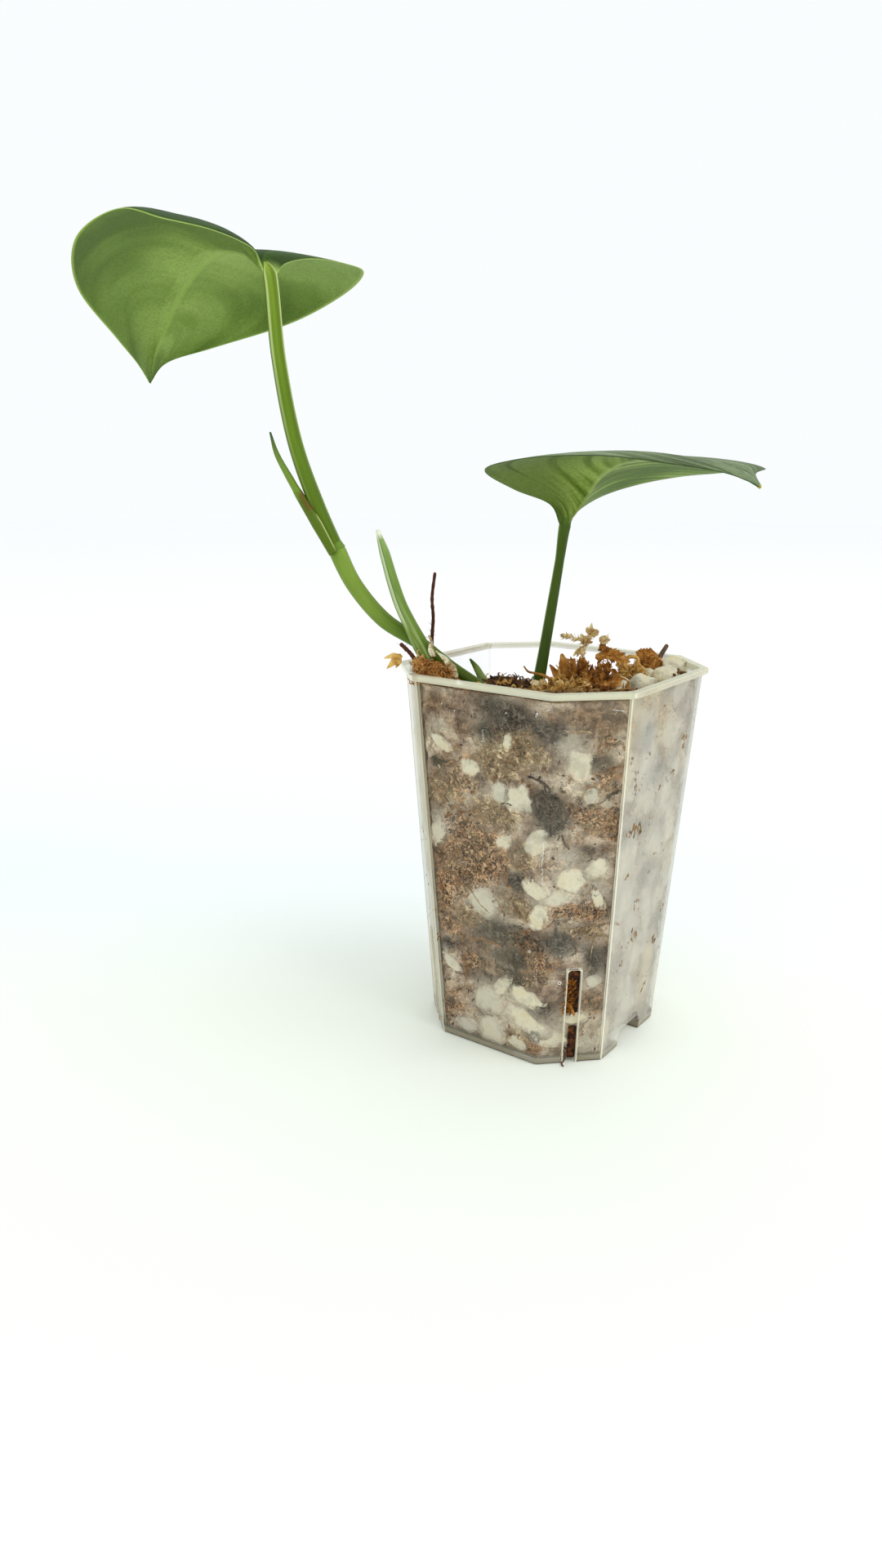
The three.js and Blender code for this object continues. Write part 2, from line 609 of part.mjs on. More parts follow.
// A moss sprig: a thin stalk with leaflets in turn on both sides, longer toward its head.
function mossSprig({ seed, path, pairs, length, headOnly = 0 }) {
  const draw = seededDraw(seed);
  const radii = path.map(() => 0.45);
  let solid = stalkSolid({ path, radii, sides: 5, steps: 2 });
  const curve = new THREE.CatmullRomCurve3(planPoints(path));
  for (let i = 0; i < pairs; i += 1) {
    const t = headOnly + (1 - headOnly) * (i + 1) / pairs;
    const root = curve.getPoint(t);
    const tangent = curve.getTangent(t);
    for (const side of [1, -1]) {
      const spin = side * (1.1 + 0.5 * draw()) + (draw() - 0.5);
      const out = new THREE.Vector3(Math.cos(spin * 2.2), Math.sin(spin * 2.2), 0.3 * (draw() - 0.3));
      const direction = out.addScaledVector(tangent, 0.8);
      const start = root.clone().addScaledVector(direction.clone().normalize(), -0.3);
      const flatTo = new THREE.Vector3(draw() - 0.5, draw() - 0.5, 1);
      solid = solid.add(leafletSolid(start, direction, flatTo, length * (0.8 + 0.4 * draw()), 0.7));
    }
  }
  return solid;
}

const mossColour = 0xb07a2e;
const mossPlaces = {
  moss_left: () => mossClump({ seed: 3, middle: [-31, -11, 98], radii: [4.9, 3.2, 3.6], leaflets: 24, length: 1.8 })
    .add(mossSprig({
      seed: 5, path: [[-33, -10.5, 99], [-37, -11.5, 103.2], [-41.2, -12, 102.2]], pairs: 3, length: 3, headOnly: 0.5,
    })),
  moss_centre: () => mossClump({
    seed: 8, middle: [1.5, -10, 96.4], radii: [5.2, 3.4, 2.2], leaflets: 16, length: 1.8,
  }),
  dark_mound: () => mossClump({
    seed: 12, middle: [-11.5, 1.5, 95.6], radii: [5.2, 3.8, 2.6], leaflets: 12, length: 1.2,
  }),
  moss_tall: () => mossSprig({
    seed: 15, path: [[6.8, 1, 95.2], [6.4, 2.4, 101], [8.4, 4, 107]], pairs: 7, length: 3.2, headOnly: 0.45,
  }).add(mossClump({ seed: 16, middle: [7.6, 3.6, 105.5], radii: [1.9, 1.7, 2.3], leaflets: 12, length: 1.8 })),
  moss_right: () => mossClump({
    seed: 20, middle: [10.5, 0.5, 97], radii: [4.8, 3.8, 3.6], leaflets: 20, length: 2.4,
  }).add(mossSprig({
    seed: 21, path: [[11, 2, 98], [14, 4.4, 102.4], [18, 5.6, 101.4], [21.5, 6.4, 99.6]], pairs: 7, length: 2.6,
  })),
  moss_far: () => mossClump({
    seed: 26, middle: [25, 11.5, 97], radii: [3.8, 3.6, 2.8], leaflets: 16, length: 2.2,
  }),
};

// The whole object. Stalks stand in plain holes, and what lies on the mix is bent clear of it.
const stalks = {
  main_stem: [stem, 0x6f8f35],
  large_petiole: [largePetiole, 0x8fa83a],
  upper_shoot: [upperShoot, 0x7c8a33],
  rolled_leaf: [rolledLeaf, 0x6d9a50],
  small_shoot: [smallShoot, 0x93a878],
  small_petiole: [smallPetiole, 0x3f6420],
  twig_upright: [twigUpright, 0x4a2312],
  twig_leaning: [twigLeaning, 0x5a2e1c],
  stick_right: [stickRight, 0x3d2b1e],
  root_curl: [rootCurl, 0x3c2418],
};
const plant = new THREE.Group();

function place(name, solid, colour, roughness = 0.8, extra = {}) {
  const material = new THREE.MeshStandardMaterial({ color: colour, roughness, metalness: 0, ...extra });
  const mesh = new THREE.Mesh(geometryOf(solid), material);
  mesh.name = name;
  plant.add(mesh);
}

place("pot", potSolid(), 0xe9e7dd, 0.45, { transparent: true, opacity: 0.4 });
const swollenStalks = joined(Object.values(stalks).map(([shape]) => stalkSolid({ ...shape, grow: touchGap })));
const plainMix = mixSolid();
const hoodRoom = block(notchDepth + wall + seatGap, notchWidth + 2 * (wall + seatGap) + 0.2, 20, 0, 0, 0);
const hoodTop = notchHeight + wall + seatGap - 10;
const hoodMiddle = footHalfWidth - (notchDepth + wall + seatGap) / 2 + 0.2;
const stones = seenStones();
const swollenStones = joined(stones.map((stone) => stoneSolid(stone, touchGap)));
const stonyMix = joined([plainMix, ...hiddenStones().map((stone) => stoneSolid(stone, 0))]);
const mix = stonyMix.intersect(potRoom(floorThickness + seatGap, 120))
  .subtract(hoodRoom.translate([hoodMiddle, 0, hoodTop]))
  .subtract(hoodRoom.translate([-hoodMiddle, 0, hoodTop]))
  .subtract(swollenStones)
  .subtract(swollenStalks);
place("potting_mix", mainBody(mix), 0x6e5040, 0.95);
let takenByStones = swollenStalks;
for (const stone of stones) {
  const solid = stoneSolid(stone, 0).intersect(potRoom(floorThickness + seatGap, 120)).subtract(takenByStones);
  place(stone.name, mainBody(solid), 0xe4e0d6, 0.9);
  takenByStones = takenByStones.add(stoneSolid(stone, touchGap));
}
const nudges = [[1, 0, 0], [-1, 0, 0], [0, 1, 0], [0, -1, 0], [0, 0, 1], [0, 0, -1]];
const nudged = (solid) => nudges.map((nudge) => solid.translate(nudge.map((step) => step * touchGap)));
const placedStalks = [...nudged(bladeSolid(largeBlade)), ...nudged(bladeSolid(smallBlade))];
for (const [name, [shape, colour]] of Object.entries(stalks)) {
  place(name, mainBody(placedStalks.reduce((rest, other) => rest.subtract(other), stalkSolid(shape))), colour, 0.5);
  placedStalks.push(stalkSolid({ ...shape, grow: touchGap }));
}
place("large_leaf", bladeSolid(largeBlade), 0x5c8340, 0.5);
place("small_leaf", bladeSolid(smallBlade), 0x5a7d3c, 0.5);
place("dry_sheath", stripSolid(drySheath), 0xd8c7a0, 0.9);
const insidePot = potRoom(60, 100.4).add(block(200, 200, 60, 0, 0, 130.35));
const room = swollenStalks.add(swollenStones).add(stripSolid(drySheath, touchGap))
  .add(plainMix.translate([0, 0, touchGap]));
const placedMoss = [];
for (const [name, build] of Object.entries(mossPlaces)) {
  const whole = build().intersect(insidePot).subtract(room);
  const clump = mainBody(placedMoss.reduce((rest, other) => rest.subtract(other), whole));
  placedMoss.push(...nudged(clump));
  place(name, clump, name === "dark_mound" ? 0x4a3220 : mossColour, 0.95);
}

export default plant;
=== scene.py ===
import random
import bmesh
import bpy
from math import copysign, cos, exp, pi, radians, sin, sqrt, tan
from mathutils import Matrix, Vector, noise


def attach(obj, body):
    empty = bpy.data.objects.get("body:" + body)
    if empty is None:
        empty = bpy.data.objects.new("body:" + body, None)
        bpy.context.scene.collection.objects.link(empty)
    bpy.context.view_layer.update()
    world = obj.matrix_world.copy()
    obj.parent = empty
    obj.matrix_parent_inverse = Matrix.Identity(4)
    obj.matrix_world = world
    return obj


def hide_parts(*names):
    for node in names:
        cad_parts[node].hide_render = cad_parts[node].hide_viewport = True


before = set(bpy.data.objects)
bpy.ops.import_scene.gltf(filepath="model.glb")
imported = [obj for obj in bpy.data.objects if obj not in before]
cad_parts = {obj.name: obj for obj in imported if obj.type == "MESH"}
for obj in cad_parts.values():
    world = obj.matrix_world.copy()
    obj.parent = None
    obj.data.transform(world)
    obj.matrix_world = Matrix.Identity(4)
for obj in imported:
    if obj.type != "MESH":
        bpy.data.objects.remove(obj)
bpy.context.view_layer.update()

# The pot: one thin moulding of clear, slightly frosted polypropylene, a square with cut corners.
# Its walls taper to the foot, a flat flange with a short skirt stiffens the rim, and each cut
# corner has a drain slot. The draft lets pots stack, and the notches let water out from under it.
MM = 0.001
pot_height = 100 * MM
top_half_width = 33.5 * MM
foot_half_width = 27.4 * MM
top_corner_leg = 13.6 * MM
foot_corner_leg = 12.6 * MM
pot_wall = 0.8 * MM
pot_floor = 0.9 * MM
rim_overhang = 1.4 * MM
rim_drop = 1.5 * MM
outer_corner_radius = 1.9 * MM
slot_width = 3.5 * MM
slot_height = 27.5 * MM
slot_bead = 0.45 * MM
notch_width = 12.6 * MM
notch_height = 4.8 * MM
notch_depth = 5 * MM
notch_shoulder = 2.2 * MM
slot_shoulder = 1.0 * MM
drain_hole_radius = 3 * MM
drain_hole_offset = 13 * MM
plant_turn = radians(36)


def half_width_at(height):
    return foot_half_width + (top_half_width - foot_half_width) * height / pot_height


def corner_leg_at(height):
    return foot_corner_leg + (top_corner_leg - foot_corner_leg) * height / pot_height


def turned(x, y, z, turn):
    """A point or direction, turned about the pot's upright axis."""
    return Vector((x * cos(turn) - y * sin(turn), x * sin(turn) + y * cos(turn), z))


def pot_outline(inset, height, corner_radius):
    """The octagon at one height, moved inward and rounded at its corners."""
    half = half_width_at(height) - inset
    leg = corner_leg_at(height) - inset * (2 - sqrt(2))
    a = half - leg
    corners = [(-a, -half), (a, -half), (half, -a), (half, a), (a, half), (-a, half), (-half, a), (-half, -a)]
    reach = max(corner_radius, 0.2 * MM) * tan(pi / 8)
    steps = 5
    ring = []
    for i, corner in enumerate(corners):
        here = Vector((*corner, height))
        start = here + (Vector((*corners[i - 1], height)) - here).normalized() * reach
        end = here + (Vector((*corners[(i + 1) % 8], height)) - here).normalized() * reach
        for step in range(steps + 1):
            s = step / steps
            ring.append(start * (1 - s) ** 2 + here * 2 * s * (1 - s) + end * s ** 2)
    return ring


def loft(rings, close_start=True, close_end=True):
    """Vertices and faces of a skin over closed rings, with a fan over each closed end."""
    count = len(rings[0])
    vertices = [point for ring in rings for point in ring]
    faces = []
    for k in range(len(rings) - 1):
        for i in range(count):
            j = (i + 1) % count
            faces.append((k * count + i, k * count + j, (k + 1) * count + j, (k + 1) * count + i))
    for ring_index, closed in ((0, close_start), (len(rings) - 1, close_end)):
        if not closed:
            continue
        middle = sum(rings[ring_index], Vector()) / count
        vertices.append(middle)
        for i in range(count):
            a = ring_index * count + i
            b = ring_index * count + (i + 1) % count
            faces.append((a, b, len(vertices) - 1) if ring_index else (b, a, len(vertices) - 1))
    return vertices, faces


def make_piece(name, parts, material, smooth=True):
    """One mesh object from a list of (vertices, faces) parts."""
    vertices = []
    faces = []
    for part_vertices, part_faces in parts:
        first = len(vertices)
        vertices.extend(part_vertices)
        faces.extend([tuple(first + i for i in face) for face in part_faces])
    mesh = bpy.data.meshes.new(name)
    mesh.from_pydata([tuple(v) for v in vertices], [], faces)
    mesh.polygons.foreach_set("use_smooth", [smooth] * len(mesh.polygons))
    mesh.materials.append(material)
    mesh.update()
    piece = bpy.data.objects.new(name, mesh)
    bpy.context.scene.collection.objects.link(piece)
    return piece


def settle(piece, slot, *nodes):
    """Every piece rides on the one body and may stand for solids. Its slot is not used."""
    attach(piece, "root")
    if nodes:
        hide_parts(*nodes)


def cut_or_join(piece, tool, operation):
    modifier = piece.modifiers.new(operation.title(), "BOOLEAN")
    modifier.operation = operation
    modifier.solver = "EXACT"
    modifier.object = tool
    graph = bpy.context.evaluated_depsgraph_get()
    mesh = bpy.data.meshes.new_from_object(piece.evaluated_get(graph))
    piece.modifiers.clear()
    piece.data = mesh
    bpy.data.objects.remove(tool)


def new_material(name, roughness, specular):
    material = bpy.data.materials.new(name)
    material.use_nodes = True
    tree = material.node_tree
    shader = tree.nodes["Principled BSDF"]
    shader.inputs["Roughness"].default_value = roughness
    shader.inputs["Specular IOR Level"].default_value = specular
    return material, tree, shader


def add_node(tree, kind, **settings):
    node = tree.nodes.new("ShaderNode" + kind)
    for key, value in settings.items():
        setattr(node, key, value)
    return node


def feed(socket, value):
    """Gives a socket a number, a colour or another socket's output."""
    if hasattr(value, "is_linked"):
        socket.id_data.links.new(value, socket)
    else:
        socket.default_value = value


def tree_of(values):
    """The node tree that the sockets among some values are in."""
    return next(value.id_data for value in values if hasattr(value, "is_linked"))


def paint(shader, skin):
    feed(shader.inputs["Base Color"], skin)


def math_node(operation, *values):
    node = add_node(tree_of(values), "Math", operation=operation)
    for socket, value in zip(node.inputs, values):
        feed(socket, value)
    return node.outputs[0]


def times(first, second):
    return math_node("MULTIPLY", first, second)


def scaled(value, gain, offset):
    """A value times a gain, plus an offset."""
    return math_node("MULTIPLY_ADD", value, gain, offset)


def plus(first, second):
    return math_node("ADD", first, second)


def minus(first, second):
    return math_node("SUBTRACT", first, second)


def size_of(value):
    """A value without its sign."""
    return math_node("ABSOLUTE", value)


def apart(first, second):
    return size_of(minus(first, second))


def axes(tree, kind="Object"):
    """The three numbers of a place on the object, or of its normal."""
    node = add_node(tree, "SeparateXYZ")
    feed(node.inputs[0], add_node(tree, "TexCoord").outputs[kind])
    return node.outputs


def noise_at(tree, feature, detail=4.0, stretch=(1, 1, 1), roughness=0.55, distortion=0.0, offset=0.0,
             place=None):
    """Noise with features of a real size in metres, fixed to the object unless it is given a place."""
    shift = add_node(tree, "Mapping")
    texture = add_node(tree, "TexNoise")
    feed(shift.inputs["Vector"], place or add_node(tree, "TexCoord").outputs["Object"])
    feed(shift.inputs["Scale"], stretch)
    feed(shift.inputs["Location"], (offset, offset, offset))
    feed(texture.inputs["Vector"], shift.outputs["Vector"])
    feed(texture.inputs["Scale"], 1 / feature)
    feed(texture.inputs["Detail"], detail)
    feed(texture.inputs["Roughness"], roughness)
    feed(texture.inputs["Distortion"], distortion)
    return texture.outputs["Fac"]


def colour(red, green, blue):
    """A colour as read off a screen, from 0 to 255, in the shader's own scale."""
    shares = [value / 255 for value in (red, green, blue)]
    return (*[share / 12.92 if share <= 0.04045 else ((share + 0.055) / 1.055) ** 2.4 for share in shares], 1)


def ramp(source, stops):
    """A ramp over stops: each a place, then a screen colour, or a factor of four numbers."""
    node = add_node(source.id_data, "ValToRGB")
    feed(node.inputs["Fac"], source)
    elements = node.color_ramp.elements
    while len(elements) < len(stops):
        elements.new(0.5)
    for element, (place, *shade) in zip(elements, stops):
        element.position = place
        element.color = colour(*shade) if len(shade) == 3 else shade
    return node.outputs["Color"]


def soft_step(source, low, high):
    node = add_node(source.id_data, "MapRange", interpolation_type="SMOOTHSTEP")
    for name, value in (("Value", source), ("From Min", low), ("From Max", high)):
        feed(node.inputs[name], value)
    return node.outputs["Result"]


def mix_colours(share, first, second, blend="MIX"):
    node = add_node(tree_of((share, first, second)), "Mix", data_type="RGBA", blend_type=blend)
    for socket, value in ((0, share), (6, first), (7, second)):
        feed(node.inputs[socket], value)
    return node.outputs[2]


def tinted(base, share, strength, shade):
    """Lays a socket's colour or a screen colour over a base, by a share of it."""
    if isinstance(shade, tuple):
        shade = colour(*shade)
    return mix_colours(times(share, strength), base, shade)


def add_bump(shader, height, distance, strength=1.0):
    bump = add_node(shader.id_data, "Bump")
    for socket, value in (("Distance", distance), ("Strength", strength), ("Height", height)):
        feed(bump.inputs[socket], value)
    feed(shader.inputs["Normal"], bump.outputs["Normal"])


def slot_edge_share(place, slant):
    """The bright cut edges of the drain slots: a narrow band on each side of them."""
    along = minus(size_of(place["X"]), size_of(place["Y"]))
    along = times(size_of(along), sqrt(0.5))
    band = soft_step(along, slot_width / 2 + 0.34 * MM, slot_width / 2 + 0.2 * MM)
    low = soft_step(place["Z"], slot_height + 0.3 * MM, slot_height)
    return times(times(band, low), soft_step(size_of(slant), 0.3, 0.4))


def frosted_wall_material():
    """Clear on the plain sides, milky on the notched ones, with pale corners, rim and foot, and painted
    corner highlights.
    """
    material, tree, shader = new_material("frosted_polypropylene", 0.32, 0.3)
    place = axes(tree)
    normal = axes(tree, "Normal")
    side_square = times(normal["X"], normal["X"])
    slant = times(normal["X"], normal["Y"])
    notched_side = soft_step(side_square, 0.62, 0.95)
    creamy_corner = soft_step(slant, 0.15, 0.4)
    # The bright strips down the rounded corner edges are painted highlights, standing in for the light they
    # catch.
    right_corner_highlight = soft_step(apart(side_square, 0.8), 0.16, 0.06)
    left_corner_highlight = soft_step(apart(slant, 0.3), 0.16, 0.06)
    rim = soft_step(place["Z"], pot_height - 1.9 * MM, pot_height - 1.3 * MM)
    foot = soft_step(place["Z"], 2.4 * MM, 1.2 * MM)
    # A dark line along the very bottom: a painted contact shadow.
    painted_contact_shadow = soft_step(place["Z"], 0.7 * MM, 0.3 * MM)
    upper_part = soft_step(place["Z"], 50 * MM, 82 * MM)
    slot_edge = slot_edge_share(place, slant)
    streaks = noise_at(tree, 9 * MM, stretch=(1, 1, 0.22), detail=6)
    cloud = noise_at(tree, 14 * MM, detail=5, offset=0.3)
    haze = soft_step(times(plus(streaks, cloud), 0.5), 0.3, 0.75)
    clouds = soft_step(noise_at(tree, 9 * MM, detail=4, offset=0.9), 0.4, 0.6)
    side_fog = scaled(upper_part, -0.09, scaled(clouds, 0.14, 0.27))
    corner_fog = scaled(haze, 0.2, 0.42)
    fog = scaled(haze, 0.055, 0.004)
    for share, amount in ((notched_side, side_fog), (creamy_corner, corner_fog), (right_corner_highlight, 0.62),
                          (left_corner_highlight, 0.3), (rim, 0.5), (foot, 0.7), (slot_edge, 0.75)):
        fog = scaled(share, amount, fog)
    away = scaled(place["Y"], cos(plant_turn), times(place["X"], -sin(plant_turn)))
    clean = times(soft_step(away, 0, 12 * MM), soft_step(place["Z"], 84 * MM, 92 * MM))
    clean = times(clean, minus(1, rim))
    fog = times(fog, scaled(clean, -0.75, 1))
    feed(shader.inputs["Alpha"], math_node("MINIMUM", fog, 0.95))
    yellowing = noise_at(tree, 26 * MM, detail=3, stretch=(1, 1, 0.5), offset=0.7)
    tint = ramp(yellowing, [(0.35, 226, 224, 208), (0.65, 224, 214, 180)])
    side_tint = ramp(yellowing, [(0.54, 231, 226, 213), (0.7, 242, 226, 186)])
    tint = mix_colours(notched_side, tint, side_tint)
    rim_tint = mix_colours(notched_side, colour(246, 245, 220), colour(206, 198, 172))
    # Over the tint: a darker foot, a painted contact shadow under it, painted highlights on the corner edges,
    # and the rim.
    for share, strength, shade in ((foot, 0.9, (148, 138, 114)), (painted_contact_shadow, 0.8, (84, 70, 46)),
                                   (right_corner_highlight, 0.8, (240, 236, 216)), (left_corner_highlight, 0.8, (222, 215, 192)),
                                   (rim, 0.8, rim_tint)):
        tint = tinted(tint, share, strength, shade)
    paint(shader, mix_colours(slot_edge, tint, colour(234, 228, 208)))
    scuffs = noise_at(tree, 1.2 * MM, stretch=(1, 1, 0.15), detail=3)
    add_bump(shader, scuffs, 0.05 * MM, 0.5)
    return material


def pot_profile():
    """Insets and heights up the outside, over the rim and down the inside."""
    edge = 0.4 * MM
    skirt = pot_height - rim_drop
    return [
        (edge, 0), (0.1 * MM, 0.15 * MM), (0, edge), (0, 25 * MM), (0, 50 * MM), (0, 75 * MM),
        (0, skirt - 0.3 * MM), (-0.3 * MM, skirt), (0.15 * MM - rim_overhang, skirt),
        (-rim_overhang, skirt + 0.2 * MM), (-rim_overhang, pot_height - 0.35 * MM),
        (0.15 * MM - rim_overhang, pot_height - 0.1 * MM), (0.4 * MM - rim_overhang, pot_height),
        (pot_wall - 0.2 * MM, pot_height), (pot_wall, pot_height - 0.2 * MM),
        (pot_wall, 75 * MM), (pot_wall, 50 * MM), (pot_wall, 25 * MM),
        (pot_wall, pot_floor + 0.7 * MM), (pot_wall + 0.7 * MM, pot_floor), (pot_wall + 8 * MM, pot_floor),
    ]


def opening_block(half_width, height, shoulder, steps, near, far, turn, lean=0.0):
    """A block that reaches out through the wall: square at the foot, with rounded top corners."""
    outline = [(-half_width, -1 * MM), (half_width, -1 * MM)]
    for hand, first in ((1, 0), (-1, steps)):
        for step in range(first, first + steps + 1):
            angle = step / steps * pi / 2
            outline.append((hand * (half_width - shoulder) + shoulder * cos(angle),
                            height - shoulder + shoulder * sin(angle)))
    return loft([[turned(out + lean * z, y, z, turn) for y, z in outline] for out in (near, far)])


pot_plastic = frosted_wall_material()
rings = [pot_outline(inset, height, max(outer_corner_radius - inset, 0.6 * MM))
         for inset, height in pot_profile()]
pot = make_piece("nursery_pot", [loft(rings)], pot_plastic)


def work_pot(operation, *block):
    """Joins a block to the pot just above its foot, or cuts one out."""
    tool = make_piece("tool", [opening_block(*block)], pot_plastic)
    if operation == "UNION":
        for vertex in tool.data.vertices:
            vertex.co.z = max(vertex.co.z, 0.02 * MM)
    cut_or_join(pot, tool, operation)


for turn in (0, pi):
    inner = foot_half_width - notch_depth
    work_pot("UNION", notch_width / 2 + pot_wall, notch_height + pot_wall, notch_shoulder, 6,
             inner - pot_wall, foot_half_width - 0.3 * MM, turn)
    work_pot("DIFFERENCE", notch_width / 2, notch_height, notch_shoulder, 6,
             inner, foot_half_width + 5 * MM, turn)
corner_out = (2 * foot_half_width - foot_corner_leg) / sqrt(2)
lean = ((2 * top_half_width - top_corner_leg) / sqrt(2) - corner_out) / pot_height
for quarter in range(4):
    turn = pi / 4 + quarter * pi / 2
    work_pot("UNION", slot_width / 2 + slot_bead, slot_height + slot_bead, slot_shoulder, 5,
             corner_out - 0.4 * MM, corner_out - 0.4 * MM + 0.62 * MM, turn, lean)
    work_pot("DIFFERENCE", slot_width / 2, slot_height, slot_shoulder, 5,
             corner_out - 4 * MM, corner_out - 4 * MM + 8 * MM, turn, lean)
    middle = turned(1, 0, 0, turn - pi / 4) * drain_hole_offset
    rings = [[middle + turned(1, 0, 0, i / 24 * 2 * pi) * drain_hole_radius + Vector((0, 0, height))
              for i in range(24)] for height in (-1 * MM, 3 * MM)]
    cut_or_join(pot, make_piece("tool", [loft(rings)], pot_plastic), "DIFFERENCE")
pot.data.polygons.foreach_set("use_smooth", [True] * len(pot.data.polygons))
pot.data.set_sharp_from_angle(angle=radians(35))
even = pot.modifiers.new("Even", "WEIGHTED_NORMAL")
even.keep_sharp = True
settle(pot, "pot_plastic", "pot")

# The potting mix: loose bark, coir fibre and dried moss, poured in and pressed by watering. It fills
# the pot, highest at the near corner, and is seen through the wall: mauve brown haze where it stands
# off the plastic, netted moss and slate dark bark where it is pressed against it.
mix_top = 92.3 * MM
mix_fall = 0.17
mix_crest = 97.8 * MM
bank_start = 26 * MM
bank_width = 6 * MM
right_bank = 0.14
right_bank_start = 20 * MM
mix_gap = 0.45 * MM
# Each patch: wall, place along it, height, half width and half height in millimetres, and its tilt.
rust_moss_patches = [
    (1, -9.5, 77.6, 3, 4.2, 0), (1, -6, 73.5, 3.6, 2.2, -20), (1, -9.9, 64, 4, 5.5, 0),
    (1, -5, 62, 5, 4.5, 0), (1, -2, 58.6, 6, 3.2, 10), (1, 2.9, 54, 5, 4.5, 0), (1, -9, 54, 6, 4, 0),
    (1, -5.5, 48.5, 8, 5.5, 0), (1, -14, 41, 3, 8, 0), (1, -11.5, 33.5, 3.4, 4, 0),
    (1, -0.6, 30.9, 4.4, 1.2, 8), (1, 14, 29, 4, 6, -15), (1, -13.5, 7, 2.6, 6.5, 0),
    (1, -6.7, 15.1, 3.2, 1.4, 10), (1, 14.2, 3.5, 1.2, 1.8, 0), (1, -8, 24, 4, 3, 0),
    (2, 3.4, 87.6, 1.8, 4, 0), (2, 5.4, 79, 2.6, 3.4, 45), (2, 6.2, 76.5, 2.4, 3.4, 0),
    (2, 7, 66, 2.8, 3.8, 0), (2, -0.2, 70, 5.5, 2.8, -10), (2, -2.2, 43.4, 6, 2.2, -5),
    (2, 5.4, 42.5, 2.2, 3.6, 20), (2, 4.5, 16, 3, 3, 0), (2, -6, 55.5, 2, 2.5, 0), (1, 9.5, 34, 5, 3, 0),
    (3, 4, 91, 4, 4, 0), (3, 13, 83, 2.6, 4, 0), (3, 7, 74, 1.8, 4, 20), (3, -13, 64.5, 2.4, 2, 0),
    (5, -6, 60, 6, 9, 0), (5, 8, 24, 5, 7, 0), (6, 0, 70, 4, 8, 0), (7, 5, 40, 6, 9, 0), (7, -8, 76, 5, 6, 0),
    (8, 1, 66, 4, 8, 0), (8, 0, 30, 4, 8, 0),
]
olive_moss_patches = [
    (1, 3.4, 81.5, 6, 6, 0), (1, 11, 85, 6.5, 5, 0), (1, -11.5, 70.5, 4.5, 5, 0), (1, 3, 67.5, 5.5, 3.6, 0),
    (1, 8.1, 43.4, 5, 3, -15), (1, -5, 38, 6, 4, 0), (1, 9.7, 57, 3.6, 4, 0), (2, 4.2, 67.7, 4.5, 3, 0),
    (2, 1.6, 74, 3, 3, 0), (2, 0, 37.8, 3.4, 1.6, 0), (1, -0.2, 26.5, 1, 4.5, 0), (1, 12, 25.5, 3, 3, -30),
    (2, 5.8, 36.5, 1.4, 3.2, 30), (1, 9, 4.6, 4, 3, 0), (1, -12, 47, 3, 3, 0), (5, 0, 76, 7, 7, 0),
    (7, -4, 58, 7, 7, 0), (6, 2, 48, 5, 8, 0), (8, -1, 84, 4, 6, 0),
]
slate_bark_patches = [
    (1, 5.6, 93.6, 8.5, 4.2, -8), (1, 0.6, 88.5, 5, 3.6, 0), (1, -15.6, 77.9, 1.9, 1.6, 0),
    (1, 16.6, 71, 4.2, 5.4, 0), (2, -6.6, 68, 3.4, 5.2, -35), (2, 3.2, 82.2, 2.6, 2.8, 0),
    (1, 9.2, 50, 3, 2.8, 0), (1, 3.4, 34.5, 7.5, 4.6, 0), (1, 6, 28, 5.5, 4.5, 0), (1, 8.5, 22, 3.5, 3.5, 0),
    (2, -4.2, 34.6, 5, 4, 0), (2, 6, 29.5, 3, 5.4, 0), (2, 2.4, 60, 2.2, 2, 0), (1, -2.5, 53, 3, 1.6, 0),
    (1, -12.5, 27, 3.4, 2.4, 0), (1, -2, 20, 3.6, 2.2, 0), (1, 14, 15, 3.4, 2.4, 0), (2, -8, 90, 3, 3, 0),
    (1, 16.5, 90, 4, 2.6, 0), (3, -8, 87, 4, 4, 0), (3, -1, 75, 4, 4, 0), (3, 4, 48, 5, 4, 0),
    (3, -4, 62, 5, 3, 0), (3, 10, 30, 5, 6, 0), (5, 6, 82, 7, 5, 0), (5, -4, 36, 6, 5, 0),
    (6, 1, 40, 4, 6, 0), (7, 6, 62, 5, 4, 0), (2, -7, 16, 2, 3, 0), (1, 14, 8, 2, 2, 0),
]
brown_bark_patches = [
    (2, -0.5, 93, 9, 3.4, -3), (1, -15, 93, 4, 3, 0), (1, -8, 88, 4, 2, 0), (2, 5, 16, 4, 4, 0),
    (1, -16, 52, 3, 3, 0), (5, -8, 90, 8, 4, 0), (7, 6, 84, 7, 4, 0), (6, -2, 20, 5, 6, 0),
]
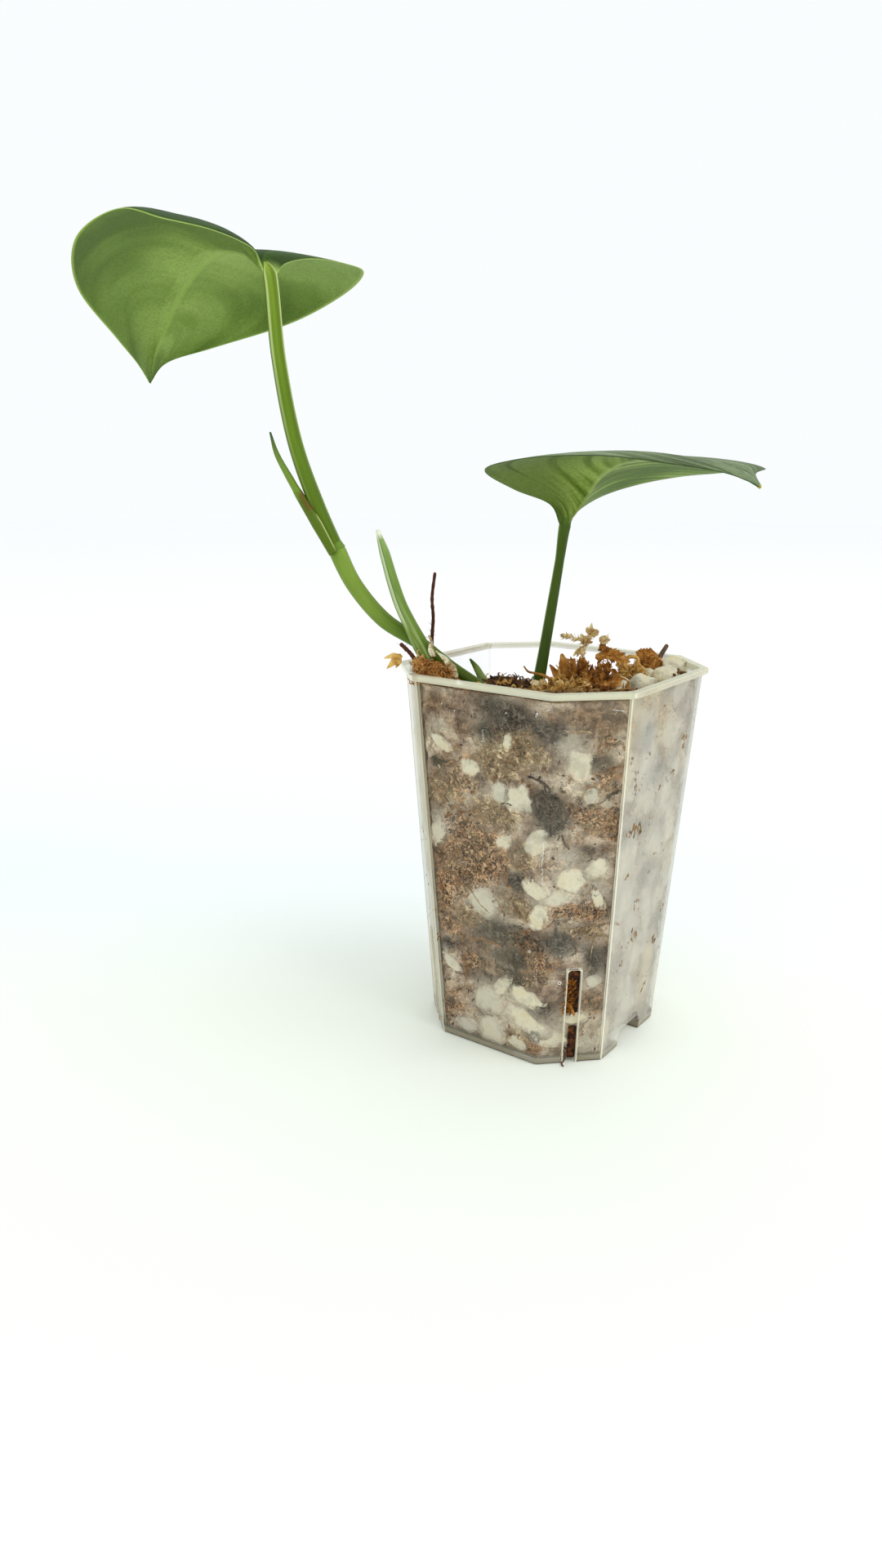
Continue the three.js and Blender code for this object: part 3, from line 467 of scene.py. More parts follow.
white_haze_patches = [
    (1, -13.5, 86.5, 3.4, 1.8, -30), (2, -4, 86.4, 3.6, 4.2, 0), (1, 4.4, 72.9, 3, 3.2, 0),
    (2, 1.6, 73.6, 2.6, 2.6, 0), (1, -15.4, 62, 2.4, 3.4, 0), (2, -3.5, 58.4, 3.4, 2.6, 0),
    (2, -5, 54.7, 3, 3, 0), (1, -1.4, 42.2, 5, 5, 0), (1, 9.8, 17, 4.6, 2, -20),
    (1, -11.8, 23.4, 4.4, 1.8, -30), (1, -1, 14.6, 5.6, 5.2, 0), (1, 0.4, 5.6, 4.8, 5.4, 0),
    (1, 10.6, 13, 6.5, 3.6, -25), (1, -8, 4, 5, 3, 0), (2, -5, 9.5, 5, 3.4, 0), (2, 5.4, 23.6, 2.6, 2.2, 0),
    (2, 1, 13, 4.6, 2.6, 0), (2, -6.4, 48, 3, 2.6, 0), (2, 6, 48.5, 2.6, 4, 20), (2, 4.5, 4.6, 3.4, 3.4, 0),
    (1, 16, 47, 2.6, 4, 0), (2, -1.8, 52, 4.4, 4, 0), (2, 4, 55.6, 3.4, 3, 0), (1, -11.5, 89.5, 3, 1.5, -20),
    (3, -7.8, 79, 4, 4.6, 0), (3, -1.7, 69.5, 3.2, 4.6, 0), (3, 12.4, 75, 3, 3.6, 0),
    (3, 5.5, 85.5, 4, 4.6, 20), (3, 7.7, 69, 3.4, 5, 0), (3, 2.7, 56, 3.6, 3.4, 0),
    (3, -12.4, 54.5, 3.6, 5.6, 0), (3, -8.9, 42.8, 3.6, 5.4, 0), (3, 5.3, 35, 3.2, 6.6, 10),
    (3, 1.4, 23, 3.4, 5, 15), (3, -6, 17, 3.2, 4.4, 0), (3, -1.6, 11.5, 3, 3.6, 0), (3, 13, 58, 3, 4, 0),
    (3, -13, 8, 3, 5, 0), (3, 8, 12, 4, 4, 0), (3, 14, 46, 3, 4, 0), (3, -13, 75, 2.4, 4, 0),
    (5, 0, 48, 5, 5, 0), (5, -10, 74, 5, 5, 0), (5, 9, 60, 4, 6, 0), (5, -8, 16, 6, 6, 0), (5, 4, 8, 5, 4, 0),
    (6, -3, 56, 3, 5, 0), (6, 3, 28, 4, 5, 0), (7, -6, 20, 6, 6, 0), (7, 7, 26, 5, 5, 0), (7, 0, 70, 5, 5, 0),
    (7, -10, 46, 4, 5, 0), (8, 0, 50, 4, 6, 0), (8, 0, 14, 4, 6, 0), (8, 0, 78, 3, 5, 0),
]


def plan(right, away, up):
    """A place in millimetres, right of and away from the near side, as a vector in metres."""
    return turned(right, away, up, plant_turn) * MM


def mix_height(x, y):
    right = x * cos(plant_turn) + y * sin(plant_turn)
    away = y * cos(plant_turn) - x * sin(plant_turn)
    ripple_x = x / MM
    ripple_y = y / MM
    waves = sin(ripple_x * 0.31 + 1.1) * cos(ripple_y * 0.27 - 0.4)
    waves += 0.6 * sin(ripple_x * 0.63 - ripple_y * 0.52)
    slope = mix_top - mix_fall * away + right_bank * max(0, right - right_bank_start)
    slope = min(slope, mix_crest) + 0.45 * MM * waves
    to_wall = max(abs(x), abs(y), (abs(x) + abs(y)) * 0.72)
    bank = max(0, min(1, (to_wall - bank_start) / bank_width))
    near = max(0, min(1, (12 * MM - away) / (10 * MM)))
    return slope + max(0, mix_crest - slope) * bank * near


def wall_directions(face):
    """Outward from one of the eight walls and along it. They count round from the one that faces -Y."""
    turn = (face - 3) * pi / 4
    return turned(1, 0, 0, turn), turned(0, 1, 0, turn)


def on_wall(face, along, up, inward):
    """A point behind one of the walls."""
    half = half_width_at(up)
    reach = half if face % 2 else (2 * half - corner_leg_at(up)) / sqrt(2)
    return turned(reach - pot_wall - inward, along, up, (face - 3) * pi / 4)


def patch_places(patches):
    """Each patch's centre, its wall's two directions and its size, ready to measure from."""
    places = []
    for face, along, up, half_across, half_high, tilt in patches:
        outward, sideways = wall_directions(face)
        centre = on_wall(face, along * MM, up * MM, mix_gap)
        places.append((centre, outward, sideways, half_across * MM, half_high * MM, radians(tilt)))
    return places


def field_at(spot, places):
    """1 at the middle of the nearest patch, 0 at its edge and below 0 outside it."""
    nearest = 1.6
    for centre, outward, sideways, half_across, half_high, tilt in places:
        reach = 1.6 * max(half_across, half_high)
        if abs(spot.z - centre.z) > reach:
            continue
        offset = spot - centre
        a = offset.dot(sideways)
        if abs(a) > reach:
            continue
        across = a * cos(tilt) + offset.z * sin(tilt)
        high = offset.z * cos(tilt) - a * sin(tilt)
        deep = offset.dot(outward) / half_across * 0.7
        nearest = min(nearest, sqrt((across / half_across) ** 2 + (high / half_high) ** 2 + deep ** 2))
    return 1 - nearest


wall_fields = {
    "rust": patch_places(rust_moss_patches),
    "olive": patch_places(olive_moss_patches),
    "slate": patch_places(slate_bark_patches),
    "brown": patch_places(brown_bark_patches),
    "white": patch_places(white_haze_patches),
}


def add_values(piece, name, values, kind="FLOAT"):
    """Keeps one number or vector for each point of a piece, for its material."""
    attribute = piece.data.attributes.new(name, kind, "POINT")
    if kind == "FLOAT":
        attribute.data.foreach_set("value", values)
    else:
        attribute.data.foreach_set("vector", [number for value in values for number in value])


def keep_wall_fields(piece):
    for name, places in wall_fields.items():
        add_values(piece, name, [field_at(vertex.co, places) for vertex in piece.data.vertices])


def kept_value(tree, name):
    return add_node(tree, "Attribute", attribute_name=name).outputs["Fac"]


def ridges(source, width):
    """Thin lines where a noise crosses its middle value."""
    distance = apart(source, 0.5)
    return soft_step(distance, width, width * 0.2)


def patch_share(tree, name, ragged, amount, soft):
    """Where one kind of patch shows, with ragged edges."""
    push = scaled(ragged, amount, -amount / 2)
    return soft_step(plus(kept_value(tree, name), push), -soft, soft)


def contrast(base, strength, source, dark, bright):
    """Swings a colour between darker and brighter as a noise wanders about its middle."""
    stops = [(0.41, dark, dark, dark, 1), (0.5, 1, 1, 1, 1), (0.59, bright, bright, bright, 1)]
    return mix_colours(strength, base, ramp(source, stops), "MULTIPLY")


def wall_view(tree):
    """The colour of the mix as it shows through the wall. Returns colour and relief."""
    broad = noise_at(tree, 10 * MM, detail=3, roughness=0.5)
    clumps = noise_at(tree, 4.2 * MM, detail=4, roughness=0.56, distortion=1.2, offset=0.21)
    weave = noise_at(tree, 1.9 * MM, detail=3, roughness=0.56, distortion=2.4, offset=0.11)
    fine = noise_at(tree, 0.7 * MM, detail=3, roughness=0.6, distortion=1.0, offset=0.41)
    strands = noise_at(tree, 2.2 * MM, detail=5, roughness=0.65, distortion=1.8, offset=0.83)
    ragged = times(plus(clumps, weave), 0.5)
    view = ramp(broad, [(0.42, 130, 108, 92), (0.5, 176, 154, 132), (0.58, 208, 192, 170)])
    view = contrast(view, 0.9, clumps, 0.68, 1.2)
    olive = ramp(clumps, [(0.41, 80, 62, 38), (0.5, 156, 132, 96), (0.59, 204, 184, 142)])
    rust = ramp(weave, [(0.41, 78, 44, 24), (0.48, 130, 88, 60), (0.54, 162, 122, 90), (0.6, 198, 166, 130)])
    orange = ramp(clumps, [(0.46, 1, 1, 1, 1), (0.62, 1.04, 0.8, 0.56, 1)])
    rust = mix_colours(0.85, rust, orange, "MULTIPLY")
    brown = ramp(clumps, [(0.42, 84, 58, 40), (0.58, 156, 122, 90)])
    slate = ramp(ragged, [(0.42, 8, 6, 8), (0.5, 34, 29, 31), (0.58, 96, 86, 78)])
    shares = {}
    for name, tone, strength, edge, amount, soft in (
            ("olive", olive, 0.85, ragged, 3.4, 0.3), ("rust", rust, 0.9, ragged, 3.8, 0.26),
            ("brown", brown, 0.8, broad, 1.6, 0.4), ("slate", slate, 0.96, ragged, 2.6, 0.34)):
        shares[name] = patch_share(tree, name, edge, amount, soft)
        view = tinted(view, shares[name], strength, tone)
    moss_share = math_node("MAXIMUM", shares["rust"], shares["olive"])
    pale_threads = times(ridges(weave, 0.035), scaled(moss_share, 0.5, 0.22))
    view = mix_colours(pale_threads, view, colour(186, 160, 122))
    dark_threads = times(ridges(strands, 0.03), scaled(moss_share, 0.4, 0.3))
    view = mix_colours(dark_threads, view, colour(58, 38, 26))
    relief = scaled(moss_share, 0.5, 0.4)
    view = contrast(view, relief, fine, 0.72, 1.26)
    view = contrast(view, relief, weave, 0.54, 1.38)
    milk = contrast(colour(198, 190, 172), 1.0, fine, 0.84, 1.08)
    return tinted(view, patch_share(tree, "white", ragged, 1.6, 0.75), 0.72, milk), fine


def potting_mix_material():
    material, tree, shader = new_material("bark_coir_and_moss", 0.95, 0.1)
    view, fine = wall_view(tree)
    top = soft_step(kept_value(tree, "lid"), 0.2, 0.8)
    litter = noise_at(tree, 1.6 * MM, detail=6, roughness=0.7, offset=0.7)
    litter = ramp(litter, [(0.32, 46, 30, 18), (0.5, 112, 78, 44), (0.68, 176, 138, 88)])
    paint(shader, mix_colours(top, view, litter))
    add_bump(shader, fine, 0.4 * MM, 0.7)
    return material


def along_outline(ring, share):
    at = share * len(ring)
    i = int(at) % len(ring)
    return ring[i].lerp(ring[(i + 1) % len(ring)], at - int(at))


around = 208
levels = 100
bottom = pot_floor + 0.3 * MM
rings = []
for level in range(levels + 1):
    ring = []
    for i in range(around):
        brim = along_outline(pot_outline(pot_wall + mix_gap, mix_top, 0.4 * MM), i / around)
        height = bottom + (mix_height(brim.x, brim.y) - 0.4 * MM - bottom) * level / levels
        spot = along_outline(pot_outline(pot_wall + mix_gap, height, 0.4 * MM), i / around)
        rough = noise.fractal(spot / (3 * MM), 1.0, 2.0, 3)
        pit = max(0, rough + 0.25) * 0.9 * MM
        ring.append(spot - Vector((spot.x, spot.y, 0)).normalized() * pit)
    rings.append(ring)
for share in (0.985, 0.95, 0.9, 0.83, 0.76, 0.68, 0.6, 0.52, 0.44, 0.36, 0.28, 0.2, 0.12, 0.05):
    ring = []
    for i in range(around):
        spot = along_outline(pot_outline(pot_wall + mix_gap, mix_top, 0.4 * MM), i / around) * share
        lumps = noise.fractal(Vector((spot.x, spot.y, 0)) / (4 * MM), 1.0, 2.0, 4)
        spot.z = mix_height(spot.x, spot.y) + 0.9 * MM * lumps - 0.2 * MM
        ring.append(spot)
    rings.append(ring)
notch_inner = foot_half_width - notch_depth - pot_wall - 0.6 * MM
clear = pot_wall + 1 * MM
for ring in rings:
    for spot in ring:
        in_notch = abs(spot.y) < notch_width / 2 + clear and spot.z < notch_height + clear
        if in_notch and abs(spot.x) > notch_inner:
            spot.x = copysign(notch_inner, spot.x)
mix = make_piece("potting_mix_fill", [loft(rings)], potting_mix_material())
lid = [0.0 if i < around * (levels + 1) else 1.0 for i in range(len(mix.data.vertices))]
add_values(mix, "lid", lid)
keep_wall_fields(mix)
settle(mix, "potting_mix", "potting_mix")

# Pumice: white volcanic grit, 3 to 10 mm, mixed through the fill for drainage. Grains that touch
# the wall lie flat against it, and their sides sink back into the haze of the frosted plastic.
# Each grain: wall, place along it, height, width, height in millimetres, tilt, and how soft it looks.
grains_in_view = [
    (1, -13.2, 83, 7.4, 3.4, -32, 0.5), (1, -4.8, 78, 6, 4, -8, 0.35), (1, 9.6, 72.4, 8.4, 7.4, 20, 0.45),
    (1, 4.3, 73, 5, 4.6, 0, 0.7), (2, -1.7, 82.3, 5.6, 8, 20, 0.5), (1, 6.6, 86.4, 2.4, 4.2, -8, 0.4),
    (1, 4.9, 60, 5, 3.8, 30, 0.4), (1, 14.4, 61.6, 4.8, 8.8, -32, 0.4), (2, 4, 55, 6, 4.8, 15, 0.4),
    (2, 1.6, 74.2, 3.6, 4.2, 0, 0.9), (1, -15.2, 58.4, 4, 7, -20, 0.7), (1, -1.4, 42.2, 8.6, 8.2, 10, 0.75),
    (1, 13.8, 49.4, 6.6, 5, -10, 0.35), (2, -1.9, 52, 7, 6.6, 10, 0.4), (1, 14.9, 42, 4.8, 7.4, -30, 0.35),
    (2, -4.9, 47.4, 6.6, 4, 10, 0.7), (2, 5, 46.6, 2.8, 6.6, 30, 0.5), (1, -0.6, 14.2, 9.6, 8.8, 0, 0.75),
    (1, 4.2, 19.6, 3.8, 7.4, -38, 0.5), (1, 11.3, 18.4, 10.2, 4.6, -14, 0.2),
    (1, 11, 11.6, 11.4, 5.4, -25, 0.3), (1, 0.4, 5.2, 8.4, 8.2, 10, 0.7), (2, -4.6, 7, 9, 5, -3, 0.4),
    (2, 0.8, 12.8, 7.2, 4, 0, 0.35), (1, 8.4, 4.2, 6, 3.6, -15, 0.6), (1, -12, 21.6, 7, 2.8, -30, 0.6),
    (2, 5.4, 23.4, 4, 3.4, 0, 0.8), (1, -7.6, 4, 7, 4.6, 0, 0.9),
]
grain_fringe = 1.22
# Right, away, height and width in millimetres of the grains that lie on top.
grains_on_top = [
    (17.6, -3.5, 94.6, 6.2), (22.9, -5.2, 94.8, 8.6), (30.2, 1.0, 96.6, 7.2), (33.4, 8, 97.8, 7.4),
    (26.5, 5.5, 95.4, 6), (3, 8, 92.2, 5), (12, 12, 91.6, 5.5), (-10, 14, 90.4, 5),
]


def any_vector(draw, reach=1):
    return Vector((draw.uniform(-reach, reach), draw.uniform(-reach, reach), draw.uniform(-reach, reach)))


def round_grain(seed, roundness=0.25):
    """A rough ball of unit radius with soft facets, as vertices and faces."""
    draw = random.Random(seed)
    offset = any_vector(draw, 50)
    flats = [(any_vector(draw).normalized(), draw.uniform(0.66, 0.9)) for _ in range(7)]
    shape = bmesh.new()
    bmesh.ops.create_icosphere(shape, subdivisions=4, radius=1)
    vertices = []
    for vertex in shape.verts:
        spot = vertex.co.copy()
        for direction, reach in flats:
            over = spot.dot(direction) - reach
            if over > 0:
                spot -= direction * over * 0.85
        swell = 1 + roundness * noise.fractal(vertex.co * 1.6 + offset, 1.0, 2.0, 3) * 0.5
        vertices.append(spot * swell * 1.08)
    faces = [tuple(vertex.index for vertex in face.verts) for face in shape.faces]
    shape.free()
    return vertices, faces


def pumice_colour(tree):
    body = noise_at(tree, 4 * MM, detail=6, roughness=0.6)
    stone = ramp(body, [(0.36, 196, 188, 164), (0.5, 226, 218, 194), (0.64, 222, 208, 172)])
    pores = add_node(tree, "TexVoronoi")
    pores.inputs["Scale"].default_value = 1 / (0.9 * MM)
    feed(pores.inputs["Vector"], add_node(tree, "TexCoord").outputs["Object"])
    pit = soft_step(pores.outputs["Distance"], 0.1, 0.32)
    pit_shade = mix_colours(pit, (0.8, 0.78, 0.72, 1), (1, 1, 1, 1))
    return mix_colours(0.6, stone, pit_shade, "MULTIPLY"), pores.outputs["Distance"]


def pumice_at_wall_material():
    material, tree, shader = new_material("pumice_behind_frosted_wall", 0.9, 0.1)
    stone, pores = pumice_colour(tree)
    milk = kept_value(tree, "milk")
    stone = mix_colours(milk, stone, colour(190, 186, 172))
    view, _ = wall_view(tree)
    ragged = noise_at(tree, 2.4 * MM, detail=6, roughness=0.65, offset=0.5)
    push = scaled(ragged, 2.2, -1.1)
    share = soft_step(plus(kept_value(tree, "contact"), push), 0.1, 0.62)
    share = times(share, scaled(milk, -0.25, 1))
    paint(shader, mix_colours(share, view, stone))
    add_bump(shader, pores, 0.12 * MM, 0.5)
    return material


def loose_pumice_material():
    material, tree, shader = new_material("white_pumice", 0.9, 0.2)
    stone, pores = pumice_colour(tree)
    paint(shader, stone)
    add_bump(shader, pores, 0.25 * MM, 0.6)
    return material


def grain_at_wall(face, along, up, width, height, tilt, softness, seed):
    """One grain pressed flat to a wall, with how much and how milky each point shows through it."""
    outward, sideways = wall_directions(face)
    depth = (width + height) / 4
    middle = on_wall(face, along * MM, up * MM, 0.4 * MM + depth * 0.5 * MM)
    lean = radians(tilt)
    vertices, faces = round_grain(seed)
    spots = []
    contact = []
    for unit in vertices:
        across = unit.x * width / 2 * grain_fringe
        high = unit.z * height / 2 * grain_fringe
        local_along = across * cos(lean) - high * sin(lean)
        local_up = across * sin(lean) + high * cos(lean)
        spot = middle + (sideways * local_along + outward * (unit.y * depth) + Vector((0, 0, local_up))) * MM
        over = (spot - on_wall(face, 0, spot.z, 0.28 * MM)).dot(outward)
        if over > 0:
            spot -= outward * over
        spot.z = max(spot.z, pot_floor + 0.3 * MM)
        spots.append(spot)
        contact.append((1.05 - sqrt(unit.x ** 2 + unit.z ** 2)) / (0.55 + softness * 0.7))
    return (spots, faces), contact, [softness ** 2] * len(spots)


at_wall = pumice_at_wall_material()


def pressed_pumice(name, grains, first_seed):
    """One piece from the grains at some walls, with what its material reads kept on it."""
    rows = [grain_at_wall(*grain, seed=first_seed + i) for i, grain in enumerate(grains)]
    piece = make_piece(name, [skin for skin, _, _ in rows], at_wall)
    add_values(piece, "contact", [value for _, contact, _ in rows for value in contact])
    add_values(piece, "milk", [value for _, _, milk in rows for value in milk])
    keep_wall_fields(piece)
    return piece


settle(pressed_pumice("pumice_seen_at_wall", grains_in_view, 100), "pumice",
       *[f"pumice_wall_{i + 1}" for i in range(len(grains_in_view))])
draw = random.Random(5)
other_grains = [(face, along, up, half_across * 1.7, half_high * 1.7, tilt, draw.uniform(0.4, 0.9))
                for face, along, up, half_across, half_high, tilt in white_haze_patches if face > 2]
settle(pressed_pumice("pumice_at_other_walls", other_grains, 300), "pumice")
parts = []
for i, (right, away, up, width) in enumerate(grains_on_top):
    vertices, faces = round_grain(200 + i, 0.35)
    middle = plan(right, away, up)
    spots = []
    for unit in vertices:
        spot = turned(unit.x * width / 2, unit.y * width / 2, unit.z * width * 0.4, i * 1.3)
        spots.append(middle + spot * MM)
    parts.append((spots, faces))
top = make_piece("pumice_on_top", parts, loose_pumice_material())
settle(top, "pumice", *[f"pumice_top_{i + 1}" for i in range(len(grains_on_top))])

# Moss flakes, coir and bark shreds: dry leaflets and strands that lie flat against the inside of the
# wall, where the mix is pressed to it. They are caught between the mix and the plastic.
strand_step = 0.6 * MM
strand_radius = 0.08 * MM
# Long single strands that stand out: wall, then pairs of place along it and height.
dark_shreds = [
    (0.32, (1, 12.2, 78.6), (1, 15.5, 78), (1, 18, 76.6), (2, -8.8, 75.5)),
    (0.3, (2, -8.6, 74.5), (2, -6.6, 73.6), (2, -5.4, 71.6), (2, -5.6, 69.8)),
    (0.26, (1, 14, 73.8), (1, 14.6, 70), (1, 16.6, 67.6), (1, 18.4, 69.6), (1, 17.6, 72.6)),
    (0.3, (2, -5.2, 64.4), (2, -4.4, 62.2), (2, -3.2, 60.6)),
    (0.2, (1, 16.8, 77), (1, 17.4, 74.8), (1, 15.4, 75.6)),
    (0.42, (2, 5.4, 73.6), (2, 6.8, 74.5), (2, 8.2, 75)),
    (0.2, (1, -16.8, 78.4), (1, -15.6, 79), (1, -14.6, 77.8), (1, -15.8, 76.8)),
    (0.2, (1, 4.4, 70), (1, 6, 70.6), (1, 7.6, 70.4)),
    (0.3, (2, -1, 34.6), (2, 0.4, 32.4), (2, -0.6, 31.2)),
]
rust_shreds = [
    (0.34, (1, -5.4, 30), (1, -2, 31.6), (1, 1.6, 31.2), (1, 4.2, 30.6)),
    (0.3, (2, 2.6, 90.4), (2, 3.4, 88), (2, 2.6, 85.6), (2, 4.4, 84.6)),
    (0.3, (2, 4.6, 44.6), (2, 5.4, 42.6), (2, 4.6, 40.8)),
    (0.3, (2, 6.2, 68), (2, 7.4, 66), (2, 8.4, 64.6)),
    (0.3, (2, 5, 80), (2, 6.6, 80.8), (2, 8.4, 81.4)),
    (0.26, (1, -11.6, 77), (1, -10, 78.8), (1, -8.4, 77.6)),
    (0.3, (1, -9.2, 59.8), (1, -6.6, 58.8), (1, -4, 57.2), (1, -2.6, 55.8)),
]
pale_shreds = [
    (0.24, (2, -6.4, 90.9), (2, -4, 90.4), (2, -2, 90.6), (2, 0.6, 90)),
    (0.22, (2, 2.4, 90.8), (2, 4.4, 91.2), (2, 5.6, 90)),
    (0.2, (1, -0.4, 30), (1, -0.2, 26), (1, -0.6, 23)),
    (0.24, (2, 7, 38), (2, 5.4, 36.6), (2, 4.6, 34), (2, 4.2, 30)),
    (0.2, (1, 12.6, 26.8), (1, 14.4, 24.8), (1, 16, 22.8)),
    (0.2, (1, -7.8, 46), (1, -4.6, 43.8), (1, -2, 41), (1, 0.6, 39.6)),
]


def step_at(path, i):
    """From the point before a place on a path to the point after it."""
    return path[min(i + 1, len(path) - 1)] - path[max(i - 1, 0)]


def tube(path, radii, sides):
    """A round strand or stalk swept along a path, closed at both ends."""
    rings = []
    across = Vector((0.31, -0.42, 0.85))
    for i, spot in enumerate(path):
        ahead = step_at(path, i)
        across = (across - ahead * (across.dot(ahead) / max(ahead.length_squared, 1e-14))).normalized()
        side = ahead.cross(across).normalized()
        radius = radii[i] if isinstance(radii, (list, tuple)) else radii
        angles = [k / sides * 2 * pi for k in range(sides)]
        rings.append([spot + (across * cos(angle) + side * sin(angle)) * radius for angle in angles])
    return loft(rings)


def smooth_path(points, steps, even=False):
    """A smooth curve through points, with the last point kept."""
    ends = [points[0] * 2 - points[1], *points, points[-1] * 2 - points[-2]]
    path = []
    for i in range(len(points) - 1):
        before, start, end, after = ends[i:i + 4]
        first, middle, last = [1.0 if even else sqrt((ends[k + 1] - ends[k]).length) for k in range(i, i + 3)]
        leave = (start - before) / first - (end - before) / (first + middle) + (end - start) / middle
        arrive = (end - start) / middle - (after - start) / (middle + last) + (after - end) / last
        for k in range(steps):
            s = k / steps
            path.append(start * (2 * s ** 3 - 3 * s ** 2 + 1) + leave * middle * (s ** 3 - 2 * s ** 2 + s)
                        + end * (3 * s ** 2 - 2 * s ** 3) + arrive * middle * (s ** 3 - s ** 2))
    path.append(points[-1])
    return path


def matte_material(name, stops, feature, roughness=0.9, bump=0.2, specular=0.25):
    """A dry matte surface whose colour wanders over a ramp."""
    material, tree, shader = new_material(name, roughness, specular)
    paint(shader, ramp(noise_at(tree, feature, detail=6, roughness=0.65, distortion=0.6), stops))
    add_bump(shader, noise_at(tree, feature * 0.35, detail=4, offset=0.3), bump * MM, 0.7)
    return material


def shred(row, draw):
    """One strand that stands out, roughened along its length."""
    width, *places = row
    points = [on_wall(face, along * MM, up * MM, 0.34 * MM) for face, along, up in places]
    path = smooth_path(points, 8)
    for i in range(1, len(path) - 1):
        path[i] += Vector((0, 0, draw.uniform(-0.16, 0.16) * MM))
    return tube(path, [width * MM * draw.uniform(0.4, 1.2) for _ in path], 5)


def over_grain(face, along, up):
    for wall, middle, height, width, high, tilt, _ in grains_in_view:
        if wall == face and ((along - middle) / width) ** 2 + ((up - height) / high) ** 2 < 0.27:
            return True
    return False


def bit_kind(spot, draw):
    """Which bit lies at a place, by what the mix is there."""
    rust, olive, slate, white = [field_at(spot, wall_fields[name])
                                 for name in ("rust", "olive", "slate", "white")]
    if white > 0.15 and draw.random() < 0.93:
        return None
    if rust > -0.1 and rust > slate:
        return draw.choice(("rusty_moss_flakes", "rusty_moss_flakes", "tan_moss_flakes", "dark_bark_flakes"))
    if olive > -0.1 and olive > slate:
        return draw.choice(("tan_moss_flakes", "tan_moss_flakes", "tan_moss_flakes", "rusty_moss_flakes"))
    if slate > 0:
        return draw.choice(("dark_bark_flakes", "dark_bark_flakes", None, None))
    return draw.choice(("tan_moss_flakes", "rusty_moss_flakes", "dark_bark_flakes") + (None,) * 9)


def heading_on_wall(sideways, angle):
    return sideways * cos(angle) + Vector((0, 0, sin(angle)))


def flake(spot, outward, heading, length, half_width, draw):
    """A small leaflet flat against the wall: a ragged six sided patch with a raised middle."""
    ahead = heading_on_wall(Vector((-outward.y, outward.x, 0)), heading)
    across = ahead.cross(outward)
    vertices = [spot + outward * 0.08 * MM]
    for k in range(6):
        angle = k / 6 * 2 * pi
        stretch = draw.uniform(0.55, 1.2)
        vertices.append(spot + ahead * length * cos(angle) * stretch
                        + across * half_width * sin(angle) * stretch - outward * draw.uniform(0, 0.1) * MM)
    return vertices, [(0, 1 + k, 1 + (k + 1) % 6) for k in range(6)]


def sprig_on_wall(spot, outward, heading, length, draw):
    """A scrap of moss pressed flat: leaflets on both sides of a bent stalk."""
    sideways = Vector((-outward.y, outward.x, 0))
    bits = []
    pairs = max(2, int(length / (0.42 * MM)))
    bend = draw.uniform(-0.35, 0.35)
    for _ in range(pairs):
        heading += bend
        spot = spot + heading_on_wall(sideways, heading) * length / pairs
        for hand in (1, -1):
            size = length * draw.uniform(0.1, 0.2)
            angle = heading + hand * draw.uniform(0.5, 1.1)
            root = spot + heading_on_wall(sideways, angle) * size * 0.9
            bits.append(flake(root, outward, angle, size, size * draw.uniform(0.3, 0.5), draw))
    return bits


def loose_strand(face, along, up, half_run, depth, draw):
    heading = draw.uniform(0, 2 * pi)
    path = []
    for _ in range(draw.randint(3, 7)):
        if abs(along) > half_run + 0.4 or up > 96 or up < 2:
            break
        path.append(on_wall(face, along * MM, up * MM, depth))
        heading += draw.uniform(-0.7, 0.7)
        along += cos(heading) * strand_step / MM
        up += sin(heading) * strand_step / MM
    if len(path) < 3:
        return None
    return tube(path, [strand_radius * draw.uniform(0.5, 1.9) for _ in path], 3)


draw = random.Random(21)
kinds = {"rusty_moss_flakes": [], "tan_moss_flakes": [], "dark_bark_flakes": []}
for face in range(1, 9):
    near = face in (1, 2)
    count = (3000 if near else 1300) if face % 2 else (1700 if near else 600)
    outward, _ = wall_directions(face)
    for _ in range(count):
        up = draw.uniform(2.5, 95)
        half_run = (half_width_at(up * MM) - corner_leg_at(up * MM)) / MM if face % 2 else 8.9
        along = draw.uniform(-half_run, half_run)
        if face in (3, 7) and up < 9:
            continue
        spot = on_wall(face, along * MM, up * MM, draw.uniform(0.2, 0.55) * MM)
        kind = bit_kind(spot, draw)
        if kind is None or over_grain(face, along, up) or up * MM > mix_height(spot.x, spot.y) - 1.5 * MM:
            continue
        heading = draw.uniform(0, 2 * pi)
        if draw.random() < 0.12:
            bit = loose_strand(face, along, up, half_run, draw.uniform(0.16, 0.5) * MM, draw)
            kinds[kind] += [bit] if bit else []
        elif draw.random() < 0.45:
            kinds[kind] += sprig_on_wall(spot, outward, heading, draw.uniform(1.0, 2.6) * MM, draw)
        else:
            length = draw.uniform(0.25, 0.9) * MM
            kinds[kind].append(flake(spot, outward, heading, length, length * draw.uniform(0.25, 0.6), draw))
for name, rows in (("dark_bark_flakes", dark_shreds), ("rusty_moss_flakes", rust_shreds),
                   ("tan_moss_flakes", pale_shreds)):
    kinds[name] += [shred(row, draw) for row in rows]
colours = {
    "rusty_moss_flakes": [(0.38, 100, 64, 40), (0.5, 142, 102, 68), (0.62, 176, 138, 100)],
    "tan_moss_flakes": [(0.38, 122, 98, 68), (0.5, 158, 132, 98), (0.62, 192, 168, 132)],
    "dark_bark_flakes": [(0.38, 46, 38, 34), (0.5, 82, 68, 58), (0.62, 112, 94, 78)],
}
for name, parts in kinds.items():
    settle(make_piece(name, parts, matte_material(name, colours[name], 1.6 * MM)), "potting_mix")

